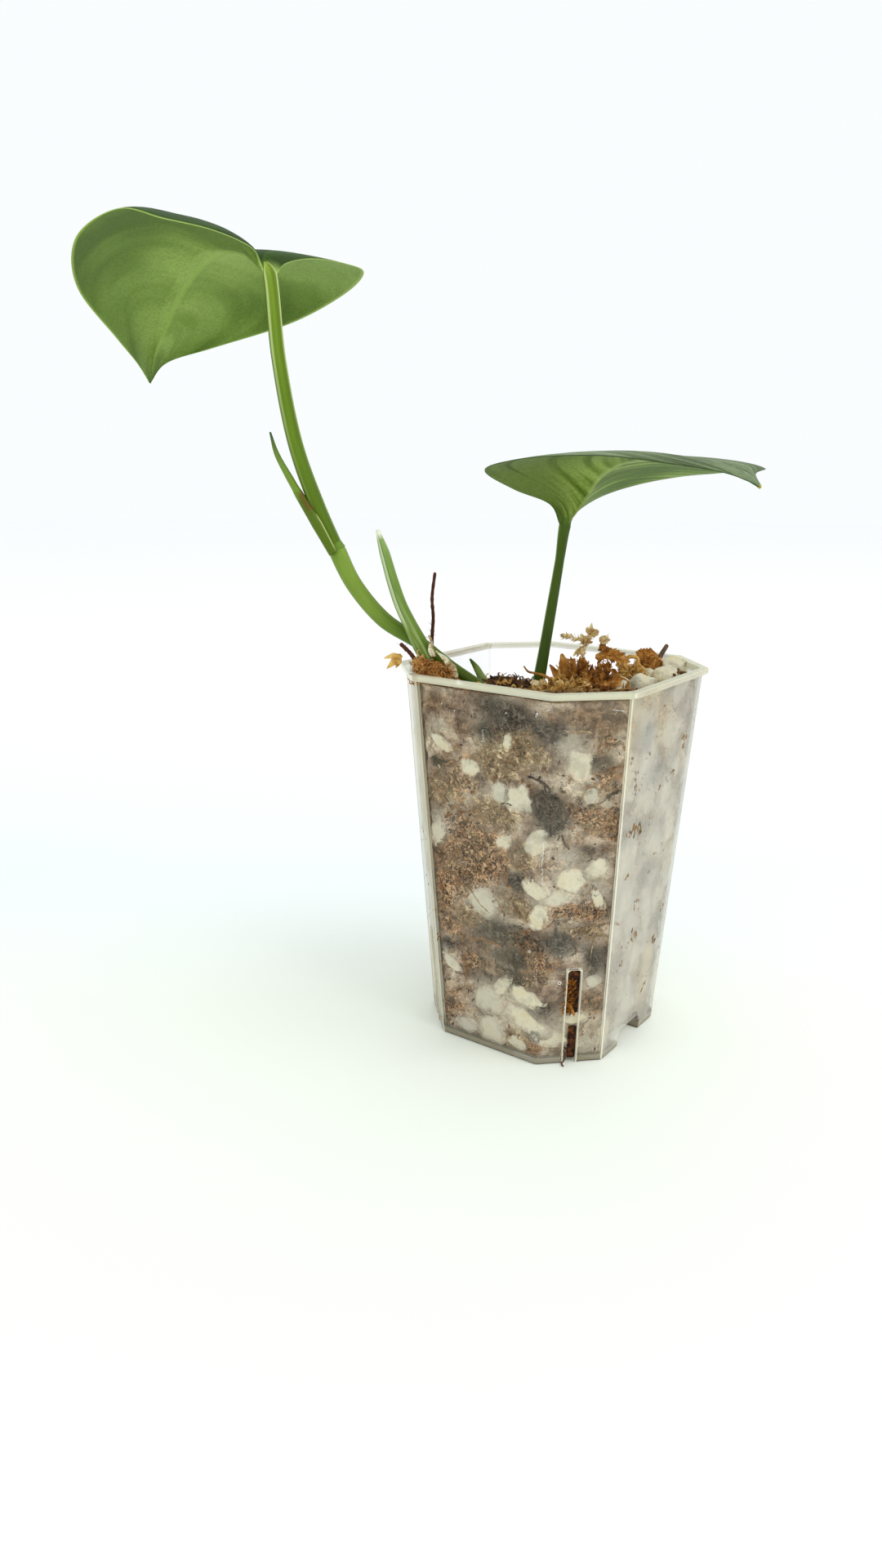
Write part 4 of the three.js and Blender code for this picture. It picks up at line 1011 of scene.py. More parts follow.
# Bits on the wall: crumbs of bark and moss that stuck to the plastic when it was filled, beads of
# condensation, and the moss, bark and root that show in the near drain slot. Only the damp and the
# press of the mix hold them.
# Each group of crumbs: wall, place along it, height, how far it spreads, how many, longest half length, lean.
wall_crumbs = [
    (3, -3.6, 32.4, 1.8, 2.0, 9, 0.75, 60), (3, 9.5, 26.1, 1.4, 1.2, 4, 1.0, 50),
    (3, 12.3, 34.3, 0.8, 1.4, 3, 0.8, 60), (3, -9.9, 26.4, 1.0, 1.0, 3, 0.8, 70),
    (3, -8.4, 30.5, 3.4, 0.8, 4, 0.5, 75), (3, 6.5, 13.1, 2.4, 1.2, 5, 0.7, 40),
    (3, -11.9, 51.6, 0.9, 0.6, 3, 0.6, 20), (3, -0.2, 48.8, 1.4, 0.6, 4, 0.4, 40),
    (3, 3.5, 53, 0.8, 0.4, 2, 0.5, 0), (3, -16.4, 83.2, 0.8, 1.2, 3, 0.5, 70),
    (3, -8.1, 81.9, 1.6, 0.8, 4, 0.4, 50), (3, -2.2, 93.5, 0.8, 0.4, 3, 0.35, 0),
    (3, -14.2, 96.4, 1.2, 0.4, 5, 0.3, 0), (3, -12.6, 87.7, 0.2, 0.2, 1, 0.3, 0),
    (3, -2.2, 72.5, 0.2, 0.2, 1, 0.35, 0), (3, -2.2, 63.8, 0.8, 1.2, 3, 0.5, 80),
    (3, 1.9, 70.8, 0.8, 1.4, 3, 0.6, 80), (3, -5, 41.6, 1.6, 1.8, 6, 0.6, 75),
    (3, -12.7, 75.4, 1.8, 4.2, 11, 0.6, 80), (3, 8.2, 74.8, 1.4, 1.6, 5, 0.6, 60),
    (3, 13.1, 81.4, 1.2, 2.2, 8, 0.8, 60), (3, -9.6, 63.2, 2.6, 1.4, 16, 0.8, 75),
    (3, -13.4, 63.4, 2.6, 1.4, 14, 0.9, 70), (3, -6, 59.6, 3, 2, 6, 0.3, 60), (3, 8, 93, 6, 2.4, 12, 0.2, 0),
    (3, 0, 50, 12, 38, 34, 0.3, 70), (2, 3.2, 9.4, 0.5, 0.6, 2, 0.5, 80), (2, 5, 13.4, 1.2, 1.2, 3, 0.5, 75),
    (1, -15.5, 73, 0.5, 0.5, 2, 0.3, 0), (1, -15.6, 29, 0.3, 1.4, 3, 0.6, 80), (8, 0, 40, 7, 30, 22, 0.3, 80),
    (3, -12.6, 97.6, 5, 0.3, 9, 0.22, 10), (3, 6, 98.4, 9, 0.3, 12, 0.2, 10),
]
# Chains of beads: wall, from one place and height to another, how many, and their radius in millimetres.
bead_chains = [
    (1, (17.4, 62.7), (16.9, 56.6), 17, 0.17), (1, (16.9, 56.6), (17.1, 51.9), 13, 0.15),
    (1, (15.3, 31.3), (15.2, 24), 12, 0.14), (1, (14.8, 31), (14.6, 25), 7, 0.11),
    (1, (19.2, 88), (18.5, 81.5), 12, 0.07), (1, (15.4, 94), (15.8, 94.8), 5, 0.16),
    (1, (0.4, 86.4), (0.2, 88.6), 7, 0.15), (1, (-0.2, 85.6), (0.6, 85.9), 4, 0.14),
    (1, (18.1, 95.7), (18.8, 96), 4, 0.15), (2, (5, 95.8), (7.4, 95.4), 9, 0.14),
    (2, (5.4, 96.6), (5.6, 94.6), 5, 0.12), (1, (6.8, 93.6), (7, 93.8), 2, 0.16),
    (1, (-8.2, 92.2), (-8, 92.4), 2, 0.14), (1, (-11.9, 93.5), (-11.8, 93.7), 2, 0.16),
    (1, (12.6, 63.4), (13.2, 62.4), 4, 0.12),
]
# Rings of beads: wall, place along it, height, radius of the ring and of its beads.
bead_rings = [(2, -3.8, 24.1, 0.42, 0.15), (1, 13.2, 32.6, 0.26, 0.1), (1, 14.2, 52.4, 0.22, 0.09)]


def crumbs_on_wall(draw):
    parts = []
    for face, along, up, half_across, half_high, count, length, lean in wall_crumbs:
        outward, _ = wall_directions(face)
        for _ in range(count):
            height = up + draw.uniform(-half_high, half_high)
            spot = on_wall(face, (along + draw.uniform(-half_across, half_across)) * MM, height * MM,
                           -pot_wall - 0.06 * MM)
            if height > 97:
                spot += outward * (rim_overhang + 0.05 * MM)
            size = length * draw.uniform(0.65, 1.25) * MM
            heading = radians(lean + draw.uniform(-18, 18))
            parts.append(flake(spot, outward, heading, size, size * draw.uniform(0.4, 0.65), draw))
    return parts


def bead(face, along, up, radius):
    outward, _ = wall_directions(face)
    middle = on_wall(face, along * MM, up * MM, -pot_wall)
    shape = bmesh.new()
    bmesh.ops.create_icosphere(shape, subdivisions=1, radius=radius * MM)
    vertices = [middle + vertex.co - outward * min(0, vertex.co.dot(outward)) for vertex in shape.verts]
    faces = [tuple(vertex.index for vertex in side.verts) for side in shape.faces]
    shape.free()
    return vertices, faces


def build_beads(draw):
    parts = []
    for face, start, end, count, radius in bead_chains:
        for i in range(count):
            share = i / (count - 1)
            along = start[0] + (end[0] - start[0]) * share + draw.uniform(-0.14, 0.14)
            up = start[1] + (end[1] - start[1]) * share
            parts.append(bead(face, along, up, radius * draw.uniform(0.6, 1.2)))
    for face, along, up, ring_radius, radius in bead_rings:
        for angle in [i / 12 * 2 * pi for i in range(12)]:
            parts.append(bead(face, along + ring_radius * cos(angle), up + ring_radius * sin(angle), radius))
    for _ in range(26):
        parts.append(bead(2, draw.gauss(-5, 0.9), draw.gauss(25, 1.1), draw.uniform(0.05, 0.13)))
    for _ in range(60):
        parts.append(bead(1, draw.uniform(-17, 19), draw.uniform(20, 94), draw.uniform(0.04, 0.1)))
    return parts


def moss_leaf(root, direction, flat, length, half_width, curl):
    """One small pointed leaf, cupped along its middle and curled at its tip."""
    along = direction.normalized()
    side = along.cross(flat)
    side = side.normalized() if side.length > 1e-6 else Vector((1, 0, 0))
    lift = side.cross(along)
    vertices = []
    for share, width in ((0, 0.35), (0.25, 0.85), (0.5, 1), (0.78, 0.6), (1, 0.04)):
        middle = root + along * length * share + lift * length * curl * share ** 2
        cup = lift * half_width * width * 0.4
        reach = side * half_width * width
        vertices += [middle - reach + cup, middle, middle + reach + cup]
    faces = []
    for i in range(4):
        a = 3 * i
        faces += [(a, a + 1, a + 4, a + 3), (a + 1, a + 2, a + 5, a + 4)]
    return vertices, faces


def slot_plug(low, high, left, right, depth):
    """A rough dark lump of mix behind part of the slot."""
    rings = []
    for step in range(9):
        height = low + (high - low) * step / 8
        ring = []
        for k in range(12):
            angle = k / 12 * 2 * pi
            along = (left + right) / 2 + (right - left) / 2 * cos(angle)
            inward = depth - 0.25 * sin(angle) + 0.3 * noise.noise(Vector((along, height, depth)) * 1.3)
            ring.append(on_wall(2, along * MM, height * MM, inward * MM))
        rings.append(ring)
    return loft(rings)


draw = random.Random(33)
crumbs = matte_material("bark_crumbs", [(0.4, 92, 66, 38), (0.6, 158, 124, 82)], 1.5 * MM)
settle(make_piece("crumbs_on_wall", crumbs_on_wall(draw), crumbs), "potting_mix")
# The beads are painted near white, a painted glint: the water itself is clear.
water, tree, shader = new_material("condensation", 0.12, 0.8)
paint(shader, (0.9, 0.9, 0.86, 1))
settle(make_piece("condensation_beads", build_beads(draw), water), "pot_plastic")
dark = matte_material("dark_mix_in_slot", [(0.4, 24, 12, 6), (0.5, 56, 28, 12),
                                           (0.62, 112, 62, 24)], 1.4 * MM)
plugs = [slot_plug(14.6, 27.0, -1.9, 1.9, 0.25), slot_plug(1.0, 10.4, -0.4, 1.9, 0.25)]
settle(make_piece("dark_mix_in_slot", plugs, dark), "potting_mix")
leaves = []
for _ in range(190):
    height = draw.uniform(15, 24.6)
    along = draw.uniform(-1.6, 0.9) - max(0, 20 - height) * 0.05
    root = on_wall(2, along * MM, height * MM, draw.uniform(-0.4, 0.4) * MM)
    direction = Vector((draw.uniform(-0.7, 0.1), draw.uniform(-0.9, -0.1), draw.uniform(-0.7, 0.6)))
    flat = any_vector(draw)
    leaves.append(moss_leaf(root, direction, flat, draw.uniform(0.7, 1.7) * MM,
                            draw.uniform(0.12, 0.3) * MM, 0.3))
for along, up, lean in ((-0.6, 17.4, 1.2), (-0.2, 16.6, 1.4), (0.1, 16, 1.6)):
    root = on_wall(2, along * MM, up * MM, -0.2 * MM)
    leaves.append(moss_leaf(root, Vector((0.5, 0.1, -lean)), Vector((0.7, -0.7, 0)), 2.2 * MM,
                            0.36 * MM, 0.3))
amber = [(0.36, 104, 58, 12), (0.5, 158, 98, 28), (0.64, 204, 150, 70)]
settle(make_piece("moss_in_slot", leaves, matte_material("moss_in_slot", amber, 1.8 * MM)), "potting_mix")
root_rows = [(-1.4, 3.4, 0.1), (-1.1, 2.0, -0.9), (-1.6, 1.0, -1.4), (-2.2, 0.5, -1.8), (-2.0, 0.24, -2.8)]
path = smooth_path([on_wall(2, along * MM, up * MM, inward * MM) for along, up, inward in root_rows], 6)
settle(make_piece("root_at_slot", [tube(path, 0.2 * MM, 6)], dark), "potting_mix")

# Litter on top of the mix: chips of fir bark, crumbs and loose coir, left lying after potting.
# Nothing holds them but their own weight.
chip_count = 330
crumb_count = 420
loose_fibre_count = 260


def on_mix(draw):
    """A place on top of the mix, well inside the wall."""
    while True:
        x = draw.uniform(-31.5, 31.5) * MM
        y = draw.uniform(-31.5, 31.5) * MM
        if abs(x) + abs(y) < 47.5 * MM:
            return Vector((x, y, mix_height(x, y)))


def chip(draw, middle, length, width, thickness):
    """A flat broken chip of bark, tilted as it fell."""
    turn = draw.uniform(0, 2 * pi)
    tilt = draw.uniform(-0.5, 0.5)
    count = draw.randint(6, 9)
    rings = []
    reach = [draw.uniform(0.7, 1.1) for _ in range(count)]
    for level, shrink in ((-0.5, 0.75), (-0.25, 1), (0.3, 0.97), (0.5, 0.7)):
        ring = []
        for k in range(count):
            angle = k / count * 2 * pi
            x = cos(angle) * reach[k] * length / 2 * shrink
            y = sin(angle) * reach[k] * width / 2 * shrink
            ring.append(middle + turned(x, y, level * thickness + x * tilt, turn))
        rings.append(ring)
    return loft(rings)


def wandering_path(draw, start, length, lift, steps=7):
    """A loose curl that lies on the mix and lifts off it by a little."""
    heading = draw.uniform(0, 2 * pi)
    bend = draw.uniform(-0.6, 0.6)
    path = []
    spot = start.copy()
    for i in range(steps):
        path.append(spot.copy())
        heading += bend + draw.uniform(-0.3, 0.3)
        stride = length / steps
        spot += Vector((cos(heading) * stride, sin(heading) * stride, 0))
        inside = abs(spot.x) < 31.8 * MM and abs(spot.y) < 31.8 * MM and abs(spot.x) + abs(spot.y) < 48 * MM
        if not inside:
            break
        spot.z = mix_height(spot.x, spot.y) + 0.3 * MM + lift * sin(pi * i / steps)
    return path


draw = random.Random(77)
chips = []
for _ in range(chip_count):
    length = draw.uniform(1.6, 4.6) * MM
    middle = on_mix(draw) + Vector((0, 0, draw.uniform(0, 0.7) * MM))
    chips.append(chip(draw, middle, length, length * draw.uniform(0.4, 0.8), draw.uniform(0.5, 1.1) * MM))
bark = matte_material("fir_bark", [(0.3, 72, 48, 30), (0.5, 118, 84, 52),
                                   (0.72, 160, 124, 80)], 2.2 * MM, bump=0.35)
settle(make_piece("bark_chips", chips, bark, smooth=False), "potting_mix")
crumbs = []
for _ in range(crumb_count):
    crumbs.append(chip(draw, on_mix(draw) + Vector((0, 0, 0.3 * MM)), draw.uniform(0.5, 1.3) * MM,
                       draw.uniform(0.4, 1.0) * MM, draw.uniform(0.4, 0.9) * MM))
dust = matte_material("bark_crumbs", [(0.35, 60, 42, 28), (0.6, 142, 112, 74)], 1.5 * MM)
settle(make_piece("bark_crumbs", crumbs, dust, smooth=False), "potting_mix")
fibres = []
for _ in range(loose_fibre_count):
    path = wandering_path(draw, on_mix(draw), draw.uniform(4, 11) * MM, draw.uniform(0, 1.6) * MM)
    if len(path) > 2:
        fibres.append(tube(path, draw.uniform(0.09, 0.2) * MM, 4))
coir = matte_material("loose_coir", [(0.3, 116, 78, 42), (0.7, 190, 152, 98)], 3 * MM)
settle(make_piece("loose_coir_fibres", fibres, coir), "potting_mix")

# Dried moss on top: bog moss and feather moss gone golden brown, in spongy cushions, loose curls,
# upright sprigs and feathery fronds. The tufts were laid on the mix round the stems after potting,
# and hold by their own stalks.
moss_golden = [(0.3, 140, 94, 34), (0.5, 212, 166, 84), (0.7, 242, 214, 142)]
moss_rusty = [(0.3, 122, 68, 18), (0.5, 186, 124, 46), (0.7, 226, 178, 98)]
moss_sponge = [(0.3, 132, 78, 24), (0.5, 196, 136, 62), (0.7, 232, 190, 118)]
moss_straw = [(0.36, 210, 168, 100), (0.5, 244, 220, 164), (0.64, 252, 244, 214)]
dark_fibre = [(0.4, 60, 34, 16), (0.5, 110, 70, 36), (0.62, 178, 136, 84)]


def plan_path(rows, steps):
    return smooth_path([plan(*row) for row in rows], steps)


def any_direction(draw):
    while True:
        direction = any_vector(draw)
        if 0.05 < direction.length < 1:
            return direction.normalized()


def curl_of_moss(draw, spot, stride, width, steps=7):
    """A thin strand that winds about."""
    path = [spot]
    heading = any_direction(draw)
    bend = any_direction(draw)
    for _ in range(steps):
        heading = (heading + heading.cross(bend) * 0.7 + any_direction(draw) * 0.3).normalized()
        path.append(path[-1] + heading * stride * MM)
    return tube(path, width * MM, 4)


def moss_cushion(draw, middle, radii, leaves, length, upward=0.4, curls=0.15):
    """A spongy tuft: leaves and curled strands that stand off an uneven ball."""
    heart = plan(*middle)
    vertices, faces = round_grain(draw.randint(0, 999), 0.9)
    core = [heart + plan(unit.x * radii[0] * 0.74, unit.y * radii[1] * 0.74, unit.z * radii[2] * 0.74)
            for unit in vertices]
    parts = [(core, faces)]
    for _ in range(leaves):
        out = any_direction(draw)
        out.z = abs(out.z) * 1.1 - 0.25
        out.normalize()
        lumps = 1 + 0.25 * noise.noise(out * 2.3 + heart * 900)
        skin = plan(out.x * radii[0], out.y * radii[1], out.z * radii[2]) * lumps
        root = heart + skin * draw.uniform(0.62, 0.98)
        if draw.random() < curls:
            parts.append(curl_of_moss(draw, root, length * 0.28, draw.uniform(0.08, 0.17)))
            continue
        direction = skin.normalized() + any_direction(draw) * 0.9 + Vector((0, 0, upward))
        size = length * draw.uniform(0.5, 1.2) * MM
        parts.append(moss_leaf(root, direction, any_direction(draw), size, size * draw.uniform(0.14, 0.32),
                               draw.uniform(-0.6, 0.6)))
    return parts


def moss_rosette(draw, middle, facing, leaves, length, half_width, spread):
    """Leaves that stand out in a cone from the head of a sprig."""
    heart = plan(*middle)
    axis = plan(*facing).normalized()
    parts = []
    for _ in range(leaves):
        direction = axis + any_direction(draw) * spread
        size = length * draw.uniform(0.6, 1.15) * MM
        root = heart + any_direction(draw) * 0.25 * length * MM
        parts.append(moss_leaf(root, direction, any_direction(draw), size,
                               half_width * draw.uniform(0.7, 1.3) * MM, draw.uniform(-0.7, 0.7)))
    return parts


def point_along(path, share):
    """A place on a path and the way that the path goes there."""
    at = share * (len(path) - 2)
    k = int(at)
    return path[k].lerp(path[k + 1], at - k), (path[k + 1] - path[k]).normalized()


def moss_sprig(draw, rows, leaves, length, half_width, start=0.0, spread=0.9, stalk_width=0.35):
    """A stalk with leaves set round it, longest in the middle."""
    path = plan_path(rows, 10)
    parts = [tube(path, [stalk_width * MM * (1 - 0.5 * i / len(path)) for i in range(len(path))], 6)]
    for i in range(leaves):
        share = start + (1 - start) * (i + 0.5) / leaves
        root, tangent = point_along(path, share)
        out = any_direction(draw)
        out = (out - tangent * out.dot(tangent)).normalized()
        direction = tangent * (1.1 - spread * 0.6) + out * spread
        size = length * draw.uniform(0.7, 1.15) * (0.65 + 0.5 * sin(pi * (0.15 + 0.8 * share))) * MM
        parts.append(moss_leaf(root, direction, tangent, size, half_width * draw.uniform(0.8, 1.2) * MM,
                               draw.uniform(-0.1, 0.6)))
    return parts


def feather_frond(draw, rows, pairs, length, half_width, flat):
    """A flat feathery frond: leaves in two rows along a curved stalk."""
    path = plan_path(rows, 12)
    parts = [tube(path, [0.32 * MM * (1 - 0.6 * i / len(path)) for i in range(len(path))], 6)]
    face = plan(*flat).normalized()
    for i in range(pairs):
        share = (i + 0.5) / pairs
        root, tangent = point_along(path, share)
        side = tangent.cross(face).normalized()
        for hand in (1, -1):
            direction = tangent * draw.uniform(0.7, 1.0) + side * hand + face * draw.uniform(-0.35, 0.35)
            size = length * draw.uniform(0.8, 1.1) * sin(pi * (0.12 + 0.8 * (1 - share))) ** 0.6 * MM
            parts.append(moss_leaf(root, direction, face, size, half_width * MM, draw.uniform(-0.4, 0.4)))
    return parts


def value_along(values, t):
    """A value between those given along a piece, with t from 0 at its start to 1 at its end."""
    spans = len(values) - 1
    at = min(int(t * spans), spans - 1)
    return values[at] + (values[at + 1] - values[at]) * (t * spans - at)


def toothed_leaf(rows, half_widths, flat, teeth, cup, seed):
    """A broad dry leaf with a ragged toothed outline, cupped across."""
    path = plan_path(rows, 8)
    face = plan(*flat).normalized()
    columns = 8
    vertices = []
    for i, middle in enumerate(path):
        t = i / (len(path) - 1)
        half = value_along(half_widths, t)
        half *= (1 + 0.35 * (abs((t * teeth + 0.13 * seed) % 1 - 0.5) - 0.25)) * MM
        side = step_at(path, i).normalized().cross(face).normalized()
        for k in range(columns + 1):
            s = 2 * k / columns - 1
            ripple = 0.5 * noise.noise(Vector((t * 5, s * 2, seed)))
            vertices.append(middle + side * half * s + face * (half * (cup * s * s + 0.5 * ripple)))
    faces = []
    for i in range(len(path) - 1):
        for k in range(columns):
            a = i * (columns + 1) + k
            faces.append((a, a + 1, a + columns + 2, a + columns + 1))
    return vertices, faces


def moss_material(name, stops):
    material = matte_material(name, stops, 2.2 * MM, roughness=0.75, bump=0.12, specular=0.3)
    material.node_tree.nodes["Principled BSDF"].inputs["Sheen Weight"].default_value = 0.1
    return material


toward_view = (0.1, -1, 0.25)


draw = random.Random(9)
golden = moss_material("golden_moss", moss_golden)
rusty = moss_material("rusty_moss", moss_rusty)
sponge = moss_material("spongy_moss", moss_sponge)
straw = moss_material("straw_moss", moss_straw)
dark = moss_material("dark_fibre", dark_fibre)
left = moss_cushion(draw, (-31.2, -11, 98.2), (5.0, 3.0, 3.4), 1500, 1.5, curls=0.5)
left += moss_cushion(draw, (-34.4, -11, 101.2), (1.6, 1.4, 2.0), 160, 1.4, curls=0.5)
bract = [toothed_leaf(rows, half_widths, toward_view, 2, cup, seed) for rows, half_widths, cup, seed in (
    ([(-39.2, -11.4, 104.2), (-40.6, -11.8, 103), (-42.9, -12.2, 100.8)], [0.5, 1.3, 0.1], 0.4, 1),
    ([(-39.4, -11.6, 104), (-41.4, -11.8, 104), (-43.6, -12, 103.4)], [0.4, 0.8, 0.1], -0.3, 2),
    ([(-39.6, -11.4, 104), (-40, -11.8, 102.4), (-40.6, -12, 101)], [0.4, 0.8, 0.1], 0.5, 3))]
centre = moss_cushion(draw, (1.4, -12, 94.4), (6.6, 3.4, 2.6), 260, 3.0, 0.1, 0.3)
centre += moss_rosette(draw, (0.8, -10.6, 97), (0, -0.4, 1), 14, 2.2, 0.7, 0.8)
centre += moss_rosette(draw, (4.4, -11, 96.2), (0.6, -0.6, 0.6), 16, 2.4, 0.8, 0.9)
buds = []
for _ in range(46):
    start = (draw.uniform(-5, 8), draw.uniform(-13, -9.5), draw.uniform(94, 96.4))
    lean = draw.uniform(-1.8, 1.8)
    rise = draw.uniform(0.4, 1.6)
    middle = (start[0] + lean * 0.6, start[1] - 0.3, start[2] + rise)
    tip = (start[0] + lean * 1.4, start[1] - 0.5, start[2] + rise * draw.uniform(0.2, 1.2))
    buds.append(toothed_leaf([start, middle, tip], [0.25, draw.uniform(0.4, 0.9), 0.15], toward_view, 3,
                             draw.uniform(-0.6, 0.6), draw.randint(4, 60)))
mound = moss_cushion(draw, (-13, -2, 94.3), (4.8, 3.4, 2.4), 620, 1.5, 0.1, 0.5)
mound += moss_cushion(draw, (-7.4, -2, 93.9), (4.2, 3.0, 2.0), 460, 1.5, 0.1, 0.5)
mound += moss_cushion(draw, (-17.6, -3, 93.8), (3.4, 2.6, 1.5), 300, 1.5, 0.1, 0.5)
husks = []
for _ in range(26):
    start = (draw.uniform(-20, -4), draw.uniform(-8, -2), draw.uniform(94.2, 96.2))
    end = (start[0] + draw.uniform(-2.4, 2.4), start[1] - 0.4, start[2] + draw.uniform(-0.5, 0.7))
    middle = ((start[0] + end[0]) / 2, start[1] - 0.4, max(start[2], end[2]) + draw.uniform(0.1, 0.5))
    husks.append(toothed_leaf([start, middle, end], [0.2, draw.uniform(0.25, 0.6), 0.15], (0.1, -0.7, 0.8), 3,
                              draw.uniform(-0.5, 0.6), draw.randint(8, 60)))
pale_heap = moss_cushion(draw, (-18, 12, 91.2), (3.6, 3, 2.6), 260, 2.0, 0.2, 0.2)
head = moss_sprig(draw, [(8.6, 0.6, 94.4), (8.0, 2, 100.6), (8.8, 3, 105)], 10, 1.8, 0.4, 0.5, 0.7, 0.6)
head += moss_rosette(draw, (9.0, 3, 105.2), (0.1, -0.3, 0.8), 30, 2.6, 0.7, 0.9)
head += moss_rosette(draw, (10.2, 3, 107.4), (0.2, -0.2, 1), 26, 2.3, 0.75, 0.8)
head += moss_rosette(draw, (12.8, 3, 106.0), (1, -0.2, 0.3), 20, 2.4, 0.6, 0.7)
head += moss_sprig(draw, [(8.6, 3, 105.2), (6.2, 2.6, 106.4), (3.6, 2.4, 107)], 16, 1.7, 0.5, 0.2, 0.8)
head += moss_rosette(draw, (3.6, 2.4, 107.0), (-1, -0.2, 0.4), 10, 1.6, 0.4, 0.6)
head += moss_rosette(draw, (7.6, 2.8, 104.2), (-0.5, -0.3, -1), 12, 2.6, 0.5, 0.5)
clump = moss_cushion(draw, (9.6, -1.5, 94.6), (5.4, 3.6, 3.4), 300, 2.6, 0.6, 0.1)
for _ in range(15):
    foot = (draw.uniform(3.5, 15), draw.uniform(-5, 0), 94)
    tip = (foot[0] + draw.uniform(-1.6, 1.6), foot[1] + draw.uniform(-1, 1), draw.uniform(97, 100.6))
    middle = ((foot[0] + tip[0]) / 2 + draw.uniform(-0.6, 0.6), (foot[1] + tip[1]) / 2,
              (foot[2] + tip[2]) / 2)
    clump += moss_sprig(draw, [foot, middle, tip], 26, 1.9, 0.42, 0.15, 0.85, 0.28)
    clump += moss_rosette(draw, tip, (0, -0.3, 1), 9, 1.7, 0.42, 0.7)
for _ in range(12):
    foot = (draw.uniform(6, 16), draw.uniform(-13, -8), 93.6)
    tip = (foot[0] + draw.uniform(-2.4, 2.4), foot[1] + draw.uniform(-1, 1), draw.uniform(95.4, 97.4))
    middle = ((foot[0] + tip[0]) / 2, foot[1], 95)
    clump += moss_sprig(draw, [foot, middle, tip], 22, 2.0, 0.5, 0.1, 0.9, 0.28)
clump += moss_sprig(draw, [(11.6, 1, 96), (12.2, 1.8, 100), (12.8, 2.6, 102.4)], 12, 1.6, 0.4, 0.3)
clump += moss_rosette(draw, (13.4, 2.8, 103.2), (0.1, -0.5, 0.8), 34, 2.2, 0.55, 0.9)
clump += moss_rosette(draw, (13.6, -2, 98.4), (0, -0.2, 1), 14, 2.6, 0.5, 0.45)
clump += feather_frond(draw, [(11.4, 2, 101.4), (14.4, 2.8, 102.2), (17, 3, 101.6), (20, 3, 99.8)],
                       26, 2.5, 0.45, toward_view)
broad = [toothed_leaf(*leaf) for leaf in (
    ([(4.4, -3, 95), (3.0, -3.2, 99), (1.8, -3.4, 103.4)], [0.8, 2.3, 0.3], toward_view, 6, 0.25, 11),
    ([(5.2, -2.8, 95.2), (4.8, -3, 99.4), (5.2, -3.2, 102.2)], [0.8, 1.5, 0.2], toward_view, 5, -0.4, 12),
    ([(3.6, -3.6, 94.8), (1.0, -3.8, 97.6), (-1.2, -3.8, 100.6)], [0.6, 1.3, 0.2], toward_view, 5, 0.4, 13),
    ([(13.2, -4.6, 94.4), (16.2, -5, 96.4), (19.4, -4.4, 96)], [0.8, 1.7, 0.5], (0.1, -0.8, 0.6), 4, 0.4, 14),
    ([(5.6, -5, 94), (7.6, -5.2, 96.6), (9.8, -5, 97.8)], [0.5, 1.0, 0.2], toward_view, 4, 0.5, 15))]
long_loop = [(19, 4, 99.4), (20.6, 4, 101.4), (22.8, 4.4, 101), (23.2, 4.6, 99.4), (25.4, 5, 97.4)]
low_loop = [(17.2, 3.4, 99.6), (18.8, 3.6, 98.4), (21.4, 3.8, 98.4), (23.6, 4, 96.8)]
loops = [tube(plan_path(long_loop, 10), 0.55 * MM, 6), tube(plan_path(low_loop, 10), 0.5 * MM, 6)]
loops += moss_sprig(draw, [(18.2, 3.4, 96.4), (18.4, 3.6, 98.6), (18.6, 3.8, 99.8)], 10, 1.6, 0.5)
loops += moss_cushion(draw, (21, 3.4, 96), (3.6, 2.4, 2.4), 220, 2.0, 0.2, 0.4)
far = moss_cushion(draw, (27.0, 10, 97.2), (3.4, 3.0, 3.0), 420, 1.9, 0.3, 0.3)
far += feather_frond(draw, [(29.4, 11, 100.2), (27, 11, 101.2), (23.8, 11, 100.9)], 18, 2.0, 0.42,
                     toward_view)
tufts = [
    ("moss_cushion_left", sponge, left, "moss_left"),
    ("dry_bract_left", golden, bract),
    ("moss_curls_centre", golden, centre, "moss_centre"),
    ("straw_buds_centre", straw, buds),
    ("dark_fibre_mound", dark, mound, "dark_mound"),
    ("dry_husks_on_mound", golden, husks),
    ("pale_moss_heap", straw, pale_heap),
    ("moss_sprig_head", straw, head, "moss_tall"),
    ("moss_clump_right", rusty, clump, "moss_right"),
    ("broad_dry_leaves", rusty, broad),
    ("dry_loops_right", golden, loops),
    ("moss_tuft_far", rusty, far, "moss_far"),
]
for name, material, parts, *nodes in tufts:
    slot = "dark_fibre" if name == "dark_fibre_mound" else "dried_moss"
    settle(make_piece(name, parts, material), slot, *nodes)

# Dead wood: two thin dark twigs pushed into the mix beside the stem, a short dark stick at the
# right, and a dry root that curls over the foot of the right stalk. All are bark covered and brittle.
twig_upright_path = [(-31.2, 0.8, 92), (-31.5, 0.8, 100), (-31.7, 0.8, 106), (-31.4, 0.7, 112),
                     (-31.7, 0.6, 117), (-31.0, 0.4, 123.3)]
twig_leaning_path = [(-32.6, -8.6, 92), (-34.6, -10.4, 100), (-36.6, -10.9, 104), (-39.3, -11, 106.8)]
stick_right_path = [(28, 13, 94), (31, 15.5, 99.5), (33.2, 18, 102.2)]
root_curl_path = [(1.0, -11, 93), (-0.6, -11, 97.2), (-3.0, -10, 98.8), (-5.5, -8.4, 99.2),
                  (-7.0, -6.4, 99.3), (-7.9, -5, 100.3)]


